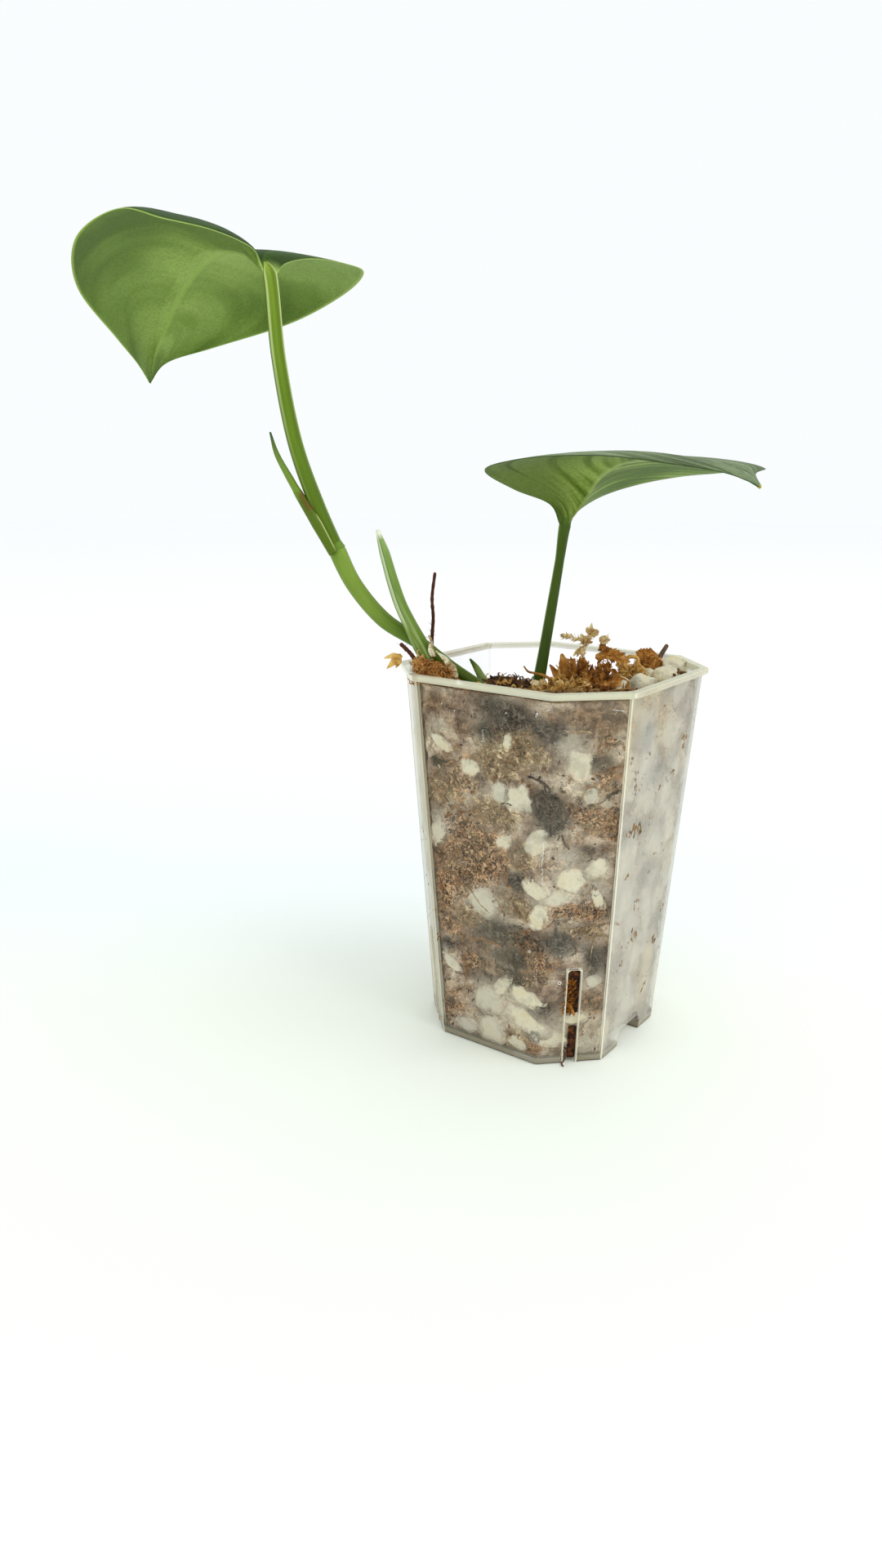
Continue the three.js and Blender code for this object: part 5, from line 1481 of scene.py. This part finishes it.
def rough_twig(rows, radius, tip_radius, seed):
    """A knobbly round twig with a rounded end."""
    path = plan_path(rows, 14)
    radii = []
    for i in range(len(path)):
        share = i / (len(path) - 1)
        knob = 1 + 0.28 * noise.noise(Vector((share * 26, seed, 0)))
        radii.append((radius + (tip_radius - radius) * share) * knob * MM)
    end = path[-1] - path[-2]
    for k, shrink in ((1, 0.8), (2, 0.45), (3, 0.1)):
        path.append(path[-1] + end.normalized() * radii[-1] * 0.35)
        radii.append(tip_radius * shrink * MM)
    return tube(path, radii, 10)


def twig_hairs(draw, rows, start, end, count):
    path = plan_path(rows, 14)
    parts = []
    for _ in range(count):
        at = draw.uniform(start, end) * (len(path) - 1)
        root = path[int(at)]
        direction = any_direction(draw)
        direction.z *= 0.5
        hair = [root + direction * reach * MM + Vector((0, 0, 0.12 * MM * reach * reach))
                for reach in (0, 0.6, 1.2, 1.8)]
        parts.append(tube(hair, [0.09 * MM, 0.07 * MM, 0.05 * MM, 0.03 * MM], 4))
    return parts


draw = random.Random(14)
red_brown = matte_material("dead_twig_bark", [(0.3, 48, 18, 8), (0.6, 92, 42, 20),
                                              (0.8, 132, 82, 48)], 1.4 * MM, 0.7, 0.2)
grey_brown = matte_material("old_stick_bark", [(0.3, 50, 38, 30), (0.6, 112, 86, 62),
                                               (0.8, 160, 132, 100)], 1.6 * MM, 0.8, 0.3)
straw_root = matte_material("dry_root", [(0.3, 120, 66, 20), (0.7, 196, 140, 62)], 2 * MM, 0.6)
pieces = [
    ("twig_standing", red_brown, "twig_upright",
     [rough_twig(twig_upright_path, 0.52, 0.42, 1)] + twig_hairs(draw, twig_upright_path, 0.24, 0.62, 26)),
    ("twig_slanting", red_brown, "twig_leaning",
     [rough_twig(twig_leaning_path, 0.6, 0.5, 2)] + twig_hairs(draw, twig_leaning_path, 0.6, 1.0, 4)),
    ("stick_at_right", grey_brown, "stick_right", [rough_twig(stick_right_path, 0.75, 0.6, 3)]),
    ("dry_root_curl", straw_root, "root_curl", [rough_twig(root_curl_path, 0.5, 0.22, 4)]),
]
for name, material, node, parts in pieces:
    settle(make_piece(name, parts, material), "dead_twig" if node != "root_curl" else "dark_fibre", node)

# The vine: a round green stem that leans out of the pot to a swollen node, and the stalks of the
# two leaves. The large leaf's stalk is channelled along its upper side with pale edges. All grow
# from the stem.
stem_path = [(-8, -4, 87), (-16.5, -4, 93), (-27, -4, 100), (-35.5, -4, 106.5), (-44, -4, 112),
             (-51.5, -4, 121), (-55.5, -3, 129), (-56, -3, 130.2)]
stem_radii = [1.5, 1.55, 1.65, 1.85, 2.05, 2.1, 2.25, 2.1]
large_petiole_path = [(-55.5, -3, 128.8), (-60.5, -3, 140.5), (-65.5, -2, 155), (-69, -1, 174.5),
                      (-70.6, 0, 193.4), (-71.6, 0.8, 196.2)]
large_petiole_radii = [1.95, 1.95, 1.85, 1.75, 1.7, 0.5]
small_petiole_path = [(-5, -6, 88), (-4.4, -6, 94), (-2.7, -5.6, 106), (-1.1, -5.2, 117), (0.4, -4.6, 127.5),
                      (1.4, -4.3, 135.6), (2.1, -5.4, 138.4)]
small_petiole_radii = [1.6, 1.65, 1.4, 1.3, 1.15, 1.5, 0.9]
stalk_facing = (0.35, -0.94, 0)


def stalk(rows, radii, section, sides, blunt):
    """A tapered stalk. section(share, angle) scales its radius. Returns its skin and, for each point,
    how far round from the front it is, how far along, and a place for streaks that run along it."""
    path = plan_path(rows, 14)
    count = len(path) - 1
    front = plan(*stalk_facing).normalized()
    stations = []
    for i, middle in enumerate(path):
        t = i / count
        stations.append((middle, step_at(path, i).normalized(), value_along(radii, t) * MM, t))
    if blunt:
        middle, tangent, radius, t = stations[-1]
        for push, shrink in ((0.35, 0.93), (0.62, 0.75), (0.82, 0.5), (0.92, 0.2)):
            stations.append((middle + tangent * radius * push, tangent, radius * shrink, t))
    rings = []
    grain = []
    length = 0.0
    for i, (middle, tangent, radius, t) in enumerate(stations):
        if i:
            length += (middle - stations[i - 1][0]).length
        across = (front - tangent * front.dot(tangent)).normalized()
        side = tangent.cross(across)
        ring = []
        for k in range(sides):
            angle = k / sides * 2 * pi
            reach = radius * (section(t, angle) if section else 1)
            ring.append(middle + across * reach * cos(angle) + side * reach * sin(angle))
            turn = angle / pi
            place = (cos(angle) * radius, sin(angle) * radius, length)
            grain.append((turn if turn <= 1 else turn - 2, t, place))
        rings.append(ring)
    grain += [(0.0, t, (0, 0, length * t)) for t in (0.0, 1.0)]
    return loft(rings), grain


def make_stalk(name, material, rows, radii, section=None, sides=36, blunt=True):
    """One stalk, with its grain kept on it."""
    skin, grain = stalk(rows, radii, section, sides, blunt)
    piece = make_piece(name, [skin], material)
    add_values(piece, "round", [around for around, _, _ in grain])
    add_values(piece, "along", [along for _, along, _ in grain])
    add_values(piece, "grain", [place for _, _, place in grain], "FLOAT_VECTOR")
    return piece


def kept_noise(tree, name, feature, stretch, detail, offset=0.0):
    """Noise laid along a piece's own grain."""
    grain = add_node(tree, "Attribute", attribute_name=name).outputs["Vector"]
    return noise_at(tree, feature, detail, stretch, 0.5, 0.0, offset, grain)


def stalk_material(name, stops, streak_strength=0.3):
    """Living green skin: colour by the place along the stalk, with fine streaks and a waxy gloss."""
    material, tree, shader = new_material(name, 0.42, 0.2)
    shader.inputs["Subsurface Weight"].default_value = 0.08
    shader.inputs["Subsurface Radius"].default_value = (0.0006, 0.0008, 0.0002)
    base = ramp(kept_value(tree, "along"), stops)
    streaks = kept_noise(tree, "grain", 0.5 * MM, (1, 1, 0.06), 5)
    light = ramp(streaks, [(0.3, 0.72, 0.76, 0.7, 1), (0.5, 1, 1, 1, 1), (0.7, 1.22, 1.18, 1.2, 1)])
    skin = mix_colours(streak_strength, base, light, "MULTIPLY")
    blotch = kept_noise(tree, "grain", 4 * MM, (1, 1, 0.4), 3, 0.37)
    cloud = ramp(blotch, [(0.35, 0.86, 0.88, 0.8, 1), (0.65, 1.12, 1.1, 1.12, 1)])
    add_bump(shader, streaks, 0.06 * MM, 0.5)
    return material, tree, shader, mix_colours(0.5, skin, cloud, "MULTIPLY")


def round_share(tree, centre, width):
    """A soft band that runs along a stalk at one place round it."""
    return soft_step(apart(kept_value(tree, "round"), centre), width, width * 0.25)


def along_share(tree, start, end, feather):
    value = kept_value(tree, "along")
    rise = soft_step(value, start - feather, start + feather)
    return times(rise, soft_step(value, end + feather, end - feather))


def banded(skin, bands):
    """Lays soft bands on a stalk. Each: place round it and half width, start, end and feather along it,
    strength and screen colour. None leaves one of the two limits out."""
    tree = skin.id_data
    for around, along, strength, shade in bands:
        share = round_share(tree, *around) if around else along_share(tree, *along)
        if around and along:
            share = times(share, along_share(tree, *along))
        skin = tinted(skin, share, strength, shade)
    return skin


def swollen(t, angle):
    node_ring = 0.07 * exp(-((t - 0.94) / 0.035) ** 2)
    dip = -0.04 * exp(-((t - 0.87) / 0.02) ** 2)
    return 1 + node_ring + dip + 0.02 * cos(angle * 3 + t * 5)


material, tree, shader, skin = stalk_material("green_vine_skin", [
    (0.0, 78, 98, 18), (0.3, 86, 110, 22), (0.48, 94, 122, 32), (0.66, 124, 150, 56), (0.84, 122, 150, 54),
    (0.98, 100, 130, 34)])
# Painted shade: the two bands round the stem darken its flanks. The band along it is a darker line at the
# node.
paint(shader, banded(skin, [
    ((-0.5, 0.4), None, 0.3, (92, 118, 28)),
    ((0.52, 0.16), None, 0.6, (74, 100, 22)),
    (None, (0.905, 0.92, 0.006), 0.55, (70, 88, 16)),
]))
settle(make_stalk("vine_stem", material, stem_path, stem_radii, swollen), "green_stalk", "main_stem")


def channel(t, angle):
    depth = 0.38 * min(1, max(0, (t - 0.12) / 0.6))
    turn = angle if angle <= pi else angle - 2 * pi
    dip = exp(-(turn / 0.55) ** 2) * depth
    return 1 - dip + exp(-((abs(turn) - 0.95) / 0.28) ** 2) * depth * 0.22


material, tree, shader, skin = stalk_material("channelled_petiole_skin", [
    (0.0, 92, 120, 18), (0.2, 88, 116, 14), (0.55, 98, 128, 20), (0.8, 112, 142, 32), (0.94, 140, 168, 48)])
channel_length = soft_step(kept_value(tree, "along"), 0.3, 0.75)
for centre in (-0.3, 0.3):
    edge = times(round_share(tree, centre, 0.09), scaled(channel_length, 0.65, 0.12))
    skin = mix_colours(edge, skin, colour(206, 218, 150))
# A painted highlight down the floor of the channel.
channel_floor_highlight = times(round_share(tree, 0.02, 0.2), channel_length)
skin = tinted(skin, channel_floor_highlight, 0.4, (124, 148, 34))
# The first three bands are painted shade on the stalk's flanks and on one slope of the channel; the last is a
# brown mark.
paint(shader, banded(skin, [
    ((0.5, 0.15), None, 0.75, (66, 90, 18)),
    ((-0.52, 0.15), None, 0.55, (66, 90, 18)),
    ((0.16, 0.15), None, 0.35, (66, 90, 18)),
    ((0.1, 0.1), (0.9, 0.915, 0.006), 0.8, (112, 92, 44)),
]))
petiole = make_stalk("large_leaf_petiole", material, large_petiole_path, large_petiole_radii, channel,
                     blunt=False)
settle(petiole, "green_stalk", "large_petiole")

material, tree, shader, skin = stalk_material("dark_petiole_skin", [
    (0.0, 56, 80, 10), (0.2, 58, 82, 8), (0.6, 68, 90, 10), (0.85, 72, 96, 16), (0.98, 92, 118, 44)])
# A painted highlight down one flank and painted shade down the other.
paint(shader, banded(skin, [
    ((-0.55, 0.14), None, 0.55, (142, 164, 72)),
    ((0.52, 0.12), None, 0.6, (42, 54, 14)),
]))
petiole = make_stalk("small_leaf_petiole", material, small_petiole_path, small_petiole_radii, blunt=False)
settle(petiole, "dark_petiole", "small_petiole")

# The shoots: a young leaf in its brown stained sheath beside the large stalk, a leaf still rolled up
# with a pale slit and a curled tip, and a small pale shoot by the stem's foot. Each grows from a bud.
upper_shoot_path = [(-56.4, -5.4, 128.6), (-60.2, -5.4, 135.6), (-63.6, -4, 141), (-67, -2.5, 146.6),
                    (-70.2, -1.9, 152.6), (-71.6, -1.5, 157.4)]
upper_shoot_radii = [1.1, 1.35, 1.15, 1.05, 0.75, 0.3]
rolled_leaf_path = [(-32.6, -8.3, 102.6), (-34.5, -8, 106.2), (-37, -7.6, 111), (-39.5, -7.4, 116.2),
                    (-41.5, -7, 122), (-43.5, -6.5, 129), (-45.1, -6, 134)]
rolled_leaf_radii = [2, 2.1, 1.75, 1.6, 1.5, 1.3, 0.6]
small_shoot_path = [(-14.5, 1, 90), (-16.5, 1, 93), (-18.4, 1, 96), (-20, 1, 98.8), (-21.6, 1, 101)]
small_shoot_radii = [1, 1.1, 1.1, 0.85, 0.3]


def sheath(t, angle):
    return 1 - 0.14 * (1 / (1 + exp(-(t - 0.5) * 120)))


material, tree, shader, skin = stalk_material("young_sheath_skin", [
    (0.0, 88, 112, 16), (0.4, 84, 108, 14), (0.5, 118, 148, 44), (0.72, 112, 142, 52), (0.97, 70, 92, 40)])
ragged = soft_step(kept_noise(tree, "grain", 0.8 * MM, (1, 1, 0.3), 4, 0.2), 0.36, 0.6)
stain = times(times(along_share(tree, 0.3, 0.47, 0.03), round_share(tree, 0.12, 0.4)), ragged)
skin = tinted(skin, stain, 0.8, (104, 72, 22))
paint(shader, banded(skin, [((0.3, 0.14), (0.02, 0.26, 0.03), 0.75, (198, 206, 132))]))
shoot = make_stalk("upper_leaf_shoot", material, upper_shoot_path, upper_shoot_radii, sheath)
settle(shoot, "green_shoot", "upper_shoot")


def rolled(t, angle):
    turn = angle if angle <= pi else angle - 2 * pi
    open_share = max(0, min(1, (t - 0.3) / 0.2))
    slot = -0.16 * open_share * exp(-((turn + 0.75) / 0.22) ** 2)
    return 1 + slot + 0.05 * open_share * exp(-((turn + 0.3) / 0.3) ** 2)


material, tree, shader, skin = stalk_material("rolled_leaf_skin", [
    (0.0, 98, 122, 34), (0.2, 108, 132, 44), (0.45, 118, 146, 64), (0.75, 118, 148, 66), (0.93, 134, 162, 92),
    (0.985, 232, 238, 214)], 0.9)
# The first band is the pale edge of the slit. The thin dark band inside the slit and the two dark bands on
# the flanks are painted shade.
skin = banded(skin, [
    ((-0.3, 0.15), (0.36, 0.95, 0.08), 0.8, (204, 216, 174)),
    ((-0.2, 0.045), (0.36, 0.95, 0.08), 0.85, (66, 88, 34)),
    ((-0.62, 0.12), (0.05, 0.9, 0.1), 0.7, (48, 76, 18)),
    ((0.5, 0.1), (0.0, 0.9, 0.1), 0.6, (56, 84, 20)),
])
rib_light = soft_step(kept_noise(tree, "grain", 0.9 * MM, (1, 1, 0.02), 2, 0.6), 0.5, 0.7)
paint(shader, tinted(skin, rib_light, 0.6, (168, 184, 122)))
rolled_leaf = make_stalk("leaf_still_rolled", material, rolled_leaf_path, rolled_leaf_radii, rolled, sides=48)
settle(rolled_leaf, "green_shoot", "rolled_leaf")

material, tree, shader, skin = stalk_material("pale_shoot_skin", [
    (0.0, 120, 142, 60), (0.45, 150, 172, 100), (0.72, 140, 164, 84), (0.9, 84, 108, 32)])
# The band round it is painted shade down one flank.
paint(shader, banded(skin, [((0.45, 0.2), None, 0.5, (92, 104, 40))]))
shoot = make_stalk("small_pale_shoot", material, small_shoot_path, small_shoot_radii)
settle(shoot, "green_shoot", "small_shoot")

# The two leaf blades: heart shaped, leathery and matte, half a millimetre thick, with a midrib and
# faint side veins that arc to the tip. Each folds open from the top of its stalk.
blade_thickness = 0.5 * MM
shoulder_place = 0.55
rows_per_station = 10
columns_per_half = 16
# Right, away and up in millimetres, from the stalk to the tip.
large_midrib = [(-71.5, 0, 193.5), (-75, 4, 197.5), (-79, 9, 200), (-86.5, 18, 201), (-94.5, 30, 199),
                (-102, 42, 194.5), (-108.5, 53, 188.5), (-114.5, 62, 181.5), (-117, 66, 177),
                (-118.5, 69, 173.5)]
large_left_edge = [(-72.5, -1, 195), (-74, -4, 198.5), (-81, -13, 200.5), (-90.5, -20, 201.5),
                   (-100, -22, 203), (-112, -14, 198.5), (-119.5, 9, 191.5), (-118.5, 36, 183),
                   (-118, 54, 178), (-118.5, 69, 173.5)]
large_right_edge = [(-69, 0, 193.5), (-67, 4, 196.5), (-61.5, 13, 199), (-54, 23, 199.5), (-50.5, 34, 199),
                    (-57.5, 48, 195.5), (-74, 60, 189.5), (-98.5, 68, 183.5), (-113, 70, 179.5),
                    (-118.5, 69, 173.5)]
large_left_arch = [0, 1, 2.2, 3.6, 4.2, 4.2, 4.2, 3, 1, 0]
large_right_arch = [0, 1.2, 0.8, 0.9, 1.6, 2.6, 3, 2.4, 0.8, 0]
small_midrib = [(1.5, -4, 136), (3, -7, 138.5), (5.5, -12, 143), (8, -18, 148), (12, -25, 151),
                (17.5, -34, 152), (23.5, -43, 151.5), (29, -51, 150), (32, -56, 148), (34, -60, 146)]
small_far_edge = [(2.5, -3, 134.5), (4.5, 0, 138.5), (11.5, 5, 142.5), (21.5, 8, 145.5), (31.5, 5, 147.5),
                  (39.5, -4, 148.5), (44, -16, 149.5), (43, -30, 149.5), (36.5, -46, 148.5), (34, -60, 146)]
small_near_edge = [(0, -5, 136), (-3, -8, 141), (-12, -13, 144.5), (-19.5, -24, 149), (-11, -37, 151.5),
                   (3.5, -49, 152), (16, -57, 150.5), (25.5, -60, 149), (30.5, -60.5, 147.5), (34, -60, 146)]
small_far_arch = [0, 0.4, 0.6, 0.9, 1, 1, 0.8, 0.5, 0.2, 0]
small_near_arch = [0, 0.6, 0.9, 1, 1, 0.9, 0.7, 0.5, 0.2, 0]


def blade_curve(rows):
    return smooth_path([plan(*row) for row in rows], rows_per_station, even=True)


def blade_grid(midrib, left, right, left_arch, right_arch):
    """Points of the blade's middle surface, row by row from the stalk to the tip."""
    rib = blade_curve(midrib)
    halves = []
    for edge, arch in ((left, left_arch), (right, right_arch)):
        shoulder = []
        for m, e, lift in zip(midrib, edge, arch):
            shoulder.append([m[k] + (e[k] - m[k]) * shoulder_place for k in range(3)])
            shoulder[-1][2] += lift
        halves.append((blade_curve(shoulder), blade_curve(edge)))
    c = shoulder_place
    grid = []
    for row in range(len(rib) - 1):
        line = []
        for column in range(-columns_per_half, columns_per_half + 1):
            share = (abs(column) / columns_per_half) ** 0.85
            shoulder, edge = halves[0 if column < 0 else 1]
            spot = rib[row] * ((share - c) * (share - 1) / c)
            spot += shoulder[row] * (share * (share - 1) / (c * (c - 1)))
            spot += edge[row] * (share * (share - c) / (1 - c))
            line.append(spot)
        grid.append(line)
    last = grid[-1]
    tip = rib[-1]
    for shrink in (0.6, 0.25):
        grid.append([tip.lerp(spot, shrink) for spot in last])
    return grid, tip


def vein_relief(along, across):
    """How far the midrib and the side veins stand off the under side, in metres."""
    rib = 0.55 * MM * (1 - 0.75 * along) * exp(-(across / 0.035) ** 2)
    flow = along - 0.34 * abs(across) ** 1.25
    wave = 0.5 + 0.5 * cos(flow * 2 * pi * 9)
    vein = 0.09 * MM * wave ** 4 * min(1, abs(across) * 6) * (1 - abs(across) ** 6)
    return rib + vein


def build_blade(name, grid, tip, materials):
    """A leaf blade: an upper and an under skin over its middle surface, closed round the rim."""
    rows = len(grid)
    columns = len(grid[0])
    vertices = []
    marks = []
    for side in (1, -1):
        for row, line in enumerate(grid):
            for column in range(columns):
                down = grid[min(row + 1, rows - 1)][column] - grid[max(row - 1, 0)][column]
                normal = down.cross(step_at(line, column))
                normal = normal.normalized() if normal.length > 1e-12 else Vector((0, 0, 1))
                u = row / (rows - 1)
                v = (column - columns_per_half) / columns_per_half
                v = copysign(abs(v) ** 0.85, v)
                reach = side * blade_thickness / 2 * (1 - 0.75 * abs(v) ** 12)
                relief = 1 if side < 0 else 0.5 if abs(v) < 0.1 else 0.3
                vertices.append(line[column] + normal * (reach - relief * vein_relief(u, v)))
                marks.append((u, v, (u - 0.34 * abs(v) ** 1.25, v * 0.12, 0.2 * (v > 0))))
        vertices.append(tip)
        marks.append((1.0, 0.0, (1.0, 0.0, 0.1)))
    sheet = rows * columns + 1
    faces = []
    material_of_face = []
    for side, order in ((0, 1), (1, -1)):
        first = side * sheet
        for row in range(rows - 1):
            for a in range(first + row * columns, first + (row + 1) * columns - 1):
                faces.append((a, a + columns, a + columns + 1, a + 1)[::order])
        for a in range(first + (rows - 1) * columns, first + rows * columns - 1):
            faces.append((a, first + sheet - 1, a + 1)[::order])
        material_of_face += [side] * (rows * (columns - 1))
    rim = [*range(columns), *[row * columns + columns - 1 for row in range(1, rows)], sheet - 1,
           *[row * columns for row in range(rows - 1, 0, -1)]]
    faces += [(a, b, b + sheet, a + sheet) for a, b in zip(rim, rim[1:] + rim[:1])]
    material_of_face += [2] * len(rim)
    blade = make_piece(name, [(vertices, faces)], materials[0])
    for material in materials[1:]:
        blade.data.materials.append(material)
    blade.data.polygons.foreach_set("material_index", material_of_face)
    add_values(blade, "along", [along for along, _, _ in marks])
    add_values(blade, "across", [across for _, across, _ in marks])
    add_values(blade, "flow", [flow for _, _, flow in marks], "FLOAT_VECTOR")
    return blade


def blade_material(name, tones, rib_colour, rim_colour, veins, foot_share, tip_colour, halves=(1.0, 1.0)):
    """Matte leaf skin: soft bands along the veins, a fine grain, a midrib and a paler rim."""
    material, tree, shader = new_material(name, 0.6, 0.15)
    along = kept_value(tree, "along")
    across = kept_value(tree, "across")
    from_rib = size_of(across)
    bands = kept_noise(tree, "flow", 1 / 5, (1, 1, 1), 1)
    fine_bands = kept_noise(tree, "flow", 1 / 30, (1, 0.35, 1), 2, 0.43)
    broad = noise_at(tree, 30 * MM, detail=2, roughness=0.4)
    share = scaled(fine_bands, veins, times(bands, 0.5 - veins / 2))
    share = plus(scaled(broad, 0.5, minus(share, veins / 2)), veins / 4)
    skin = ramp(share, [(place, *tone) for place, tone in zip((0.41, 0.5, 0.59), tones)])
    grain = noise_at(tree, 0.7 * MM, detail=3, roughness=0.65)
    near, far = halves
    # Painted shade over the grain: lighter near the stalk and darker toward the tip, lighter by the midrib
    # and darker toward the margin. The last ramp sets the near and far halves apart.
    for strength, source, stops in (
            (0.8, grain, [(0.41, 0.84, 0.86, 0.8, 1), (0.59, 1.16, 1.13, 1.2, 1)]),
            (0.8, along, [(0.25, 1.1, 1.08, 1.1, 1), (0.9, 0.8, 0.84, 0.72, 1)]),
            (0.8, from_rib, [(0.12, 1.08, 1.06, 1.1, 1), (0.6, 0.74, 0.78, 0.68, 1)]),
            (1.0, scaled(across, 0.5, 0.5), [(0.25, near, near, near, 1), (0.75, far, far, far, 1)])):
        skin = mix_colours(strength, skin, ramp(source, stops), "MULTIPLY")
    rib = times(soft_step(from_rib, 0.04, 0.008), scaled(along, -0.5, 0.75))
    skin = mix_colours(rib, skin, colour(*rib_colour))
    skin = tinted(skin, soft_step(from_rib, 0.972, 0.995), 0.6, rim_colour)
    skin = tinted(skin, soft_step(along, 0.09, 0.0), foot_share, rim_colour)
    paint(shader, mix_colours(soft_step(along, 0.965, 0.985), skin, colour(*tip_colour)))
    add_bump(shader, grain, 0.03 * MM, 0.6)
    return material


large_skins = [
    blade_material("large_leaf_upper_skin", [(40, 66, 8), (52, 82, 14), (66, 96, 24)], (104, 130, 44),
                   (160, 188, 96), 0.2, 0.9, (52, 82, 14)),
    blade_material("large_leaf_under_skin", [(88, 114, 32), (110, 137, 50), (134, 160, 74)], (148, 178, 82),
                   (174, 202, 100), 0.12, 0.5, (70, 96, 24)),
    matte_material("large_leaf_rim", [(0.3, 158, 184, 92), (0.7, 190, 210, 124)], 3 * MM, 0.5, 0.03),
]
grid, tip = blade_grid(large_midrib, large_right_edge, large_left_edge, large_right_arch, large_left_arch)
settle(build_blade("large_heart_leaf", grid, tip, large_skins), "leaf_blade", "large_leaf")
small_skins = [
    blade_material("small_leaf_upper_skin", [(74, 88, 54), (104, 122, 80), (140, 156, 122)], (136, 156, 108),
                   (50, 70, 38), 0.5, 0.3, (196, 180, 70)),
    blade_material("small_leaf_under_skin", [(66, 88, 20), (90, 112, 38), (122, 144, 70)], (168, 188, 112),
                   (96, 122, 52), 0.5, 0.5, (196, 180, 70), (0.82, 1.8)),
    matte_material("small_leaf_rim", [(0.3, 36, 52, 30), (0.7, 60, 80, 44)], 3 * MM, 0.5, 0.03),
]
grid, tip = blade_grid(small_midrib, small_near_edge, small_far_edge, small_near_arch, small_far_arch)
settle(build_blade("small_heart_leaf", grid, tip, small_skins), "leaf_blade", "small_leaf")

# The old bud scale: a dry papery strip that still clasps the stem above the rim, straw pale and
# twisted, with a curled husk over it. It is a dead sheath that has split along its length.
dry_sheath_rows = [(-25.6, -11.6, 98.4), (-26.2, -11.6, 100.8), (-27.8, -11.4, 103.2), (-30.6, -10.8, 105.2)]
dry_sheath_half_widths = [0.8, 1.2, 1.0, 0.4]
husk_rows = [(-31.2, -10.6, 103.6), (-31.6, -10.2, 105.6), (-31.5, -9.6, 107.2), (-32.4, -9, 108.8)]
husk_half_widths = [0.6, 1.0, 0.7, 0.3]


def ribbon(rows, half_widths, thickness, twist, cup):
    """A thin strip that twists and cups along a path."""
    path = plan_path(rows, 8)
    rings = []
    side = plan(1, 0.1, 0.2).normalized()
    for i, middle in enumerate(path):
        t = i / (len(path) - 1)
        half = value_along(half_widths, t) * MM
        tangent = step_at(path, i).normalized()
        across = (side - tangent * side.dot(tangent)).normalized()
        lift = tangent.cross(across)
        wide = across * cos(twist * t) + lift * sin(twist * t)
        face = lift * cos(twist * t) - across * sin(twist * t)
        ring = []
        for k, depth in [(k, 0) for k in range(9)] + [(k, thickness) for k in range(8, -1, -1)]:
            s = k / 4 - 1
            bend = half * (cup * s * s + 0.12 * sin(7 * t * pi + 3 * s))
            ring.append(middle + wide * half * s + face * (bend - depth))
        rings.append(ring)
    return loft(rings)


paper = matte_material("papery_bud_scale", [(0.41, 158, 122, 70), (0.5, 210, 192, 146),
                                            (0.58, 238, 234, 204)], 1.4 * MM, 0.7, 0.15)
strip = make_piece("papery_bud_scale", [ribbon(dry_sheath_rows, dry_sheath_half_widths, 0.15 * MM, 1.3, 0.6),
                                        ribbon(husk_rows, husk_half_widths, 0.15 * MM, 2.2, 0.5)], paper)
settle(strip, "dry_sheath", "dry_sheath")

# The floor and the light of a plain photo tent: a pale sheet under the pot that brightens into the
# white behind it, and one soft lamp from the right.
floor_radius = 3.0
floor_near = (0.945, 0.986, 0.905, 1)
floor_mid = (0.905, 0.952, 0.968, 1)
floor_far = (0.99, 0.985, 0.992, 1)
floor_fade = 0.5
camera_azimuth = radians(36.14)
camera_elevation = radians(16.24)
camera_roll = radians(0.28)
camera_distance = 295.88 * MM
camera_aim_right = -29.16 * MM
camera_aim_up = 67.18 * MM
focal_pixels = 1339.2
picture_width_pixels = 1080


material, tree, shader = new_material("white_photo_sheet", 0.9, 0.1)
place = axes(tree)
toward = scaled(place["Y"], cos(camera_azimuth), times(place["X"], -sin(camera_azimuth)))
toward = scaled(noise_at(tree, 60 * MM, detail=2), 20 * MM, toward)
toward = times(toward, 1 / floor_fade)
paint(shader, ramp(toward, [(0.03, *floor_near), (0.25, *floor_mid), (1.0, *floor_far)]))
rings = [[turned(reach, 0, 0, k / 48 * 2 * pi) for k in range(48)]
         for reach in (0.02, 0.1, 0.3, 1.0, floor_radius)]
floor = make_piece("photo_floor", [loft(rings, True, False)], material)


world = bpy.data.worlds.new("photo_tent")
bpy.context.scene.world = world
world.use_nodes = True
tree = world.node_tree
tree.nodes["Background"].inputs["Color"].default_value = (0.955, 0.985, 1.0, 1)
tree.nodes["Background"].inputs["Strength"].default_value = 1.0
lamp = bpy.data.lights.new("soft_box", "AREA")
lamp.shape = "DISK"
lamp.size = 1.0
lamp.energy = 5.0
lamp_object = bpy.data.objects.new("soft_box", lamp)
bpy.context.scene.collection.objects.link(lamp_object)
lamp_object.location = (0.9, 0.1, 1.2)
aim = Vector((0, 0, 0.05)) - lamp_object.location
lamp_object.rotation_euler = aim.to_track_quat("-Z", "Y").to_euler()
bpy.context.scene.view_settings.view_transform = "Standard"


back = Vector((sin(camera_azimuth) * cos(camera_elevation),
               -cos(camera_azimuth) * cos(camera_elevation), sin(camera_elevation)))
right = Vector((cos(camera_azimuth), sin(camera_azimuth), 0))
up = back.cross(right)
aim = right * camera_aim_right + Vector((0, 0, camera_aim_up))
place = aim + back * camera_distance
turned_right = right * cos(camera_roll) + up * sin(camera_roll)
turned_up = up * cos(camera_roll) - right * sin(camera_roll)
data = bpy.data.cameras.new("photo_camera")
data.sensor_fit = "HORIZONTAL"
data.sensor_width = 36
data.lens = focal_pixels / picture_width_pixels * 36
data.clip_start = 0.01
camera = bpy.data.objects.new("photo_camera", data)
bpy.context.scene.collection.objects.link(camera)
turn = Matrix((turned_right, turned_up, back)).transposed()
camera.matrix_world = Matrix.LocRotScale(place, turn, None)
bpy.context.scene.camera = camera
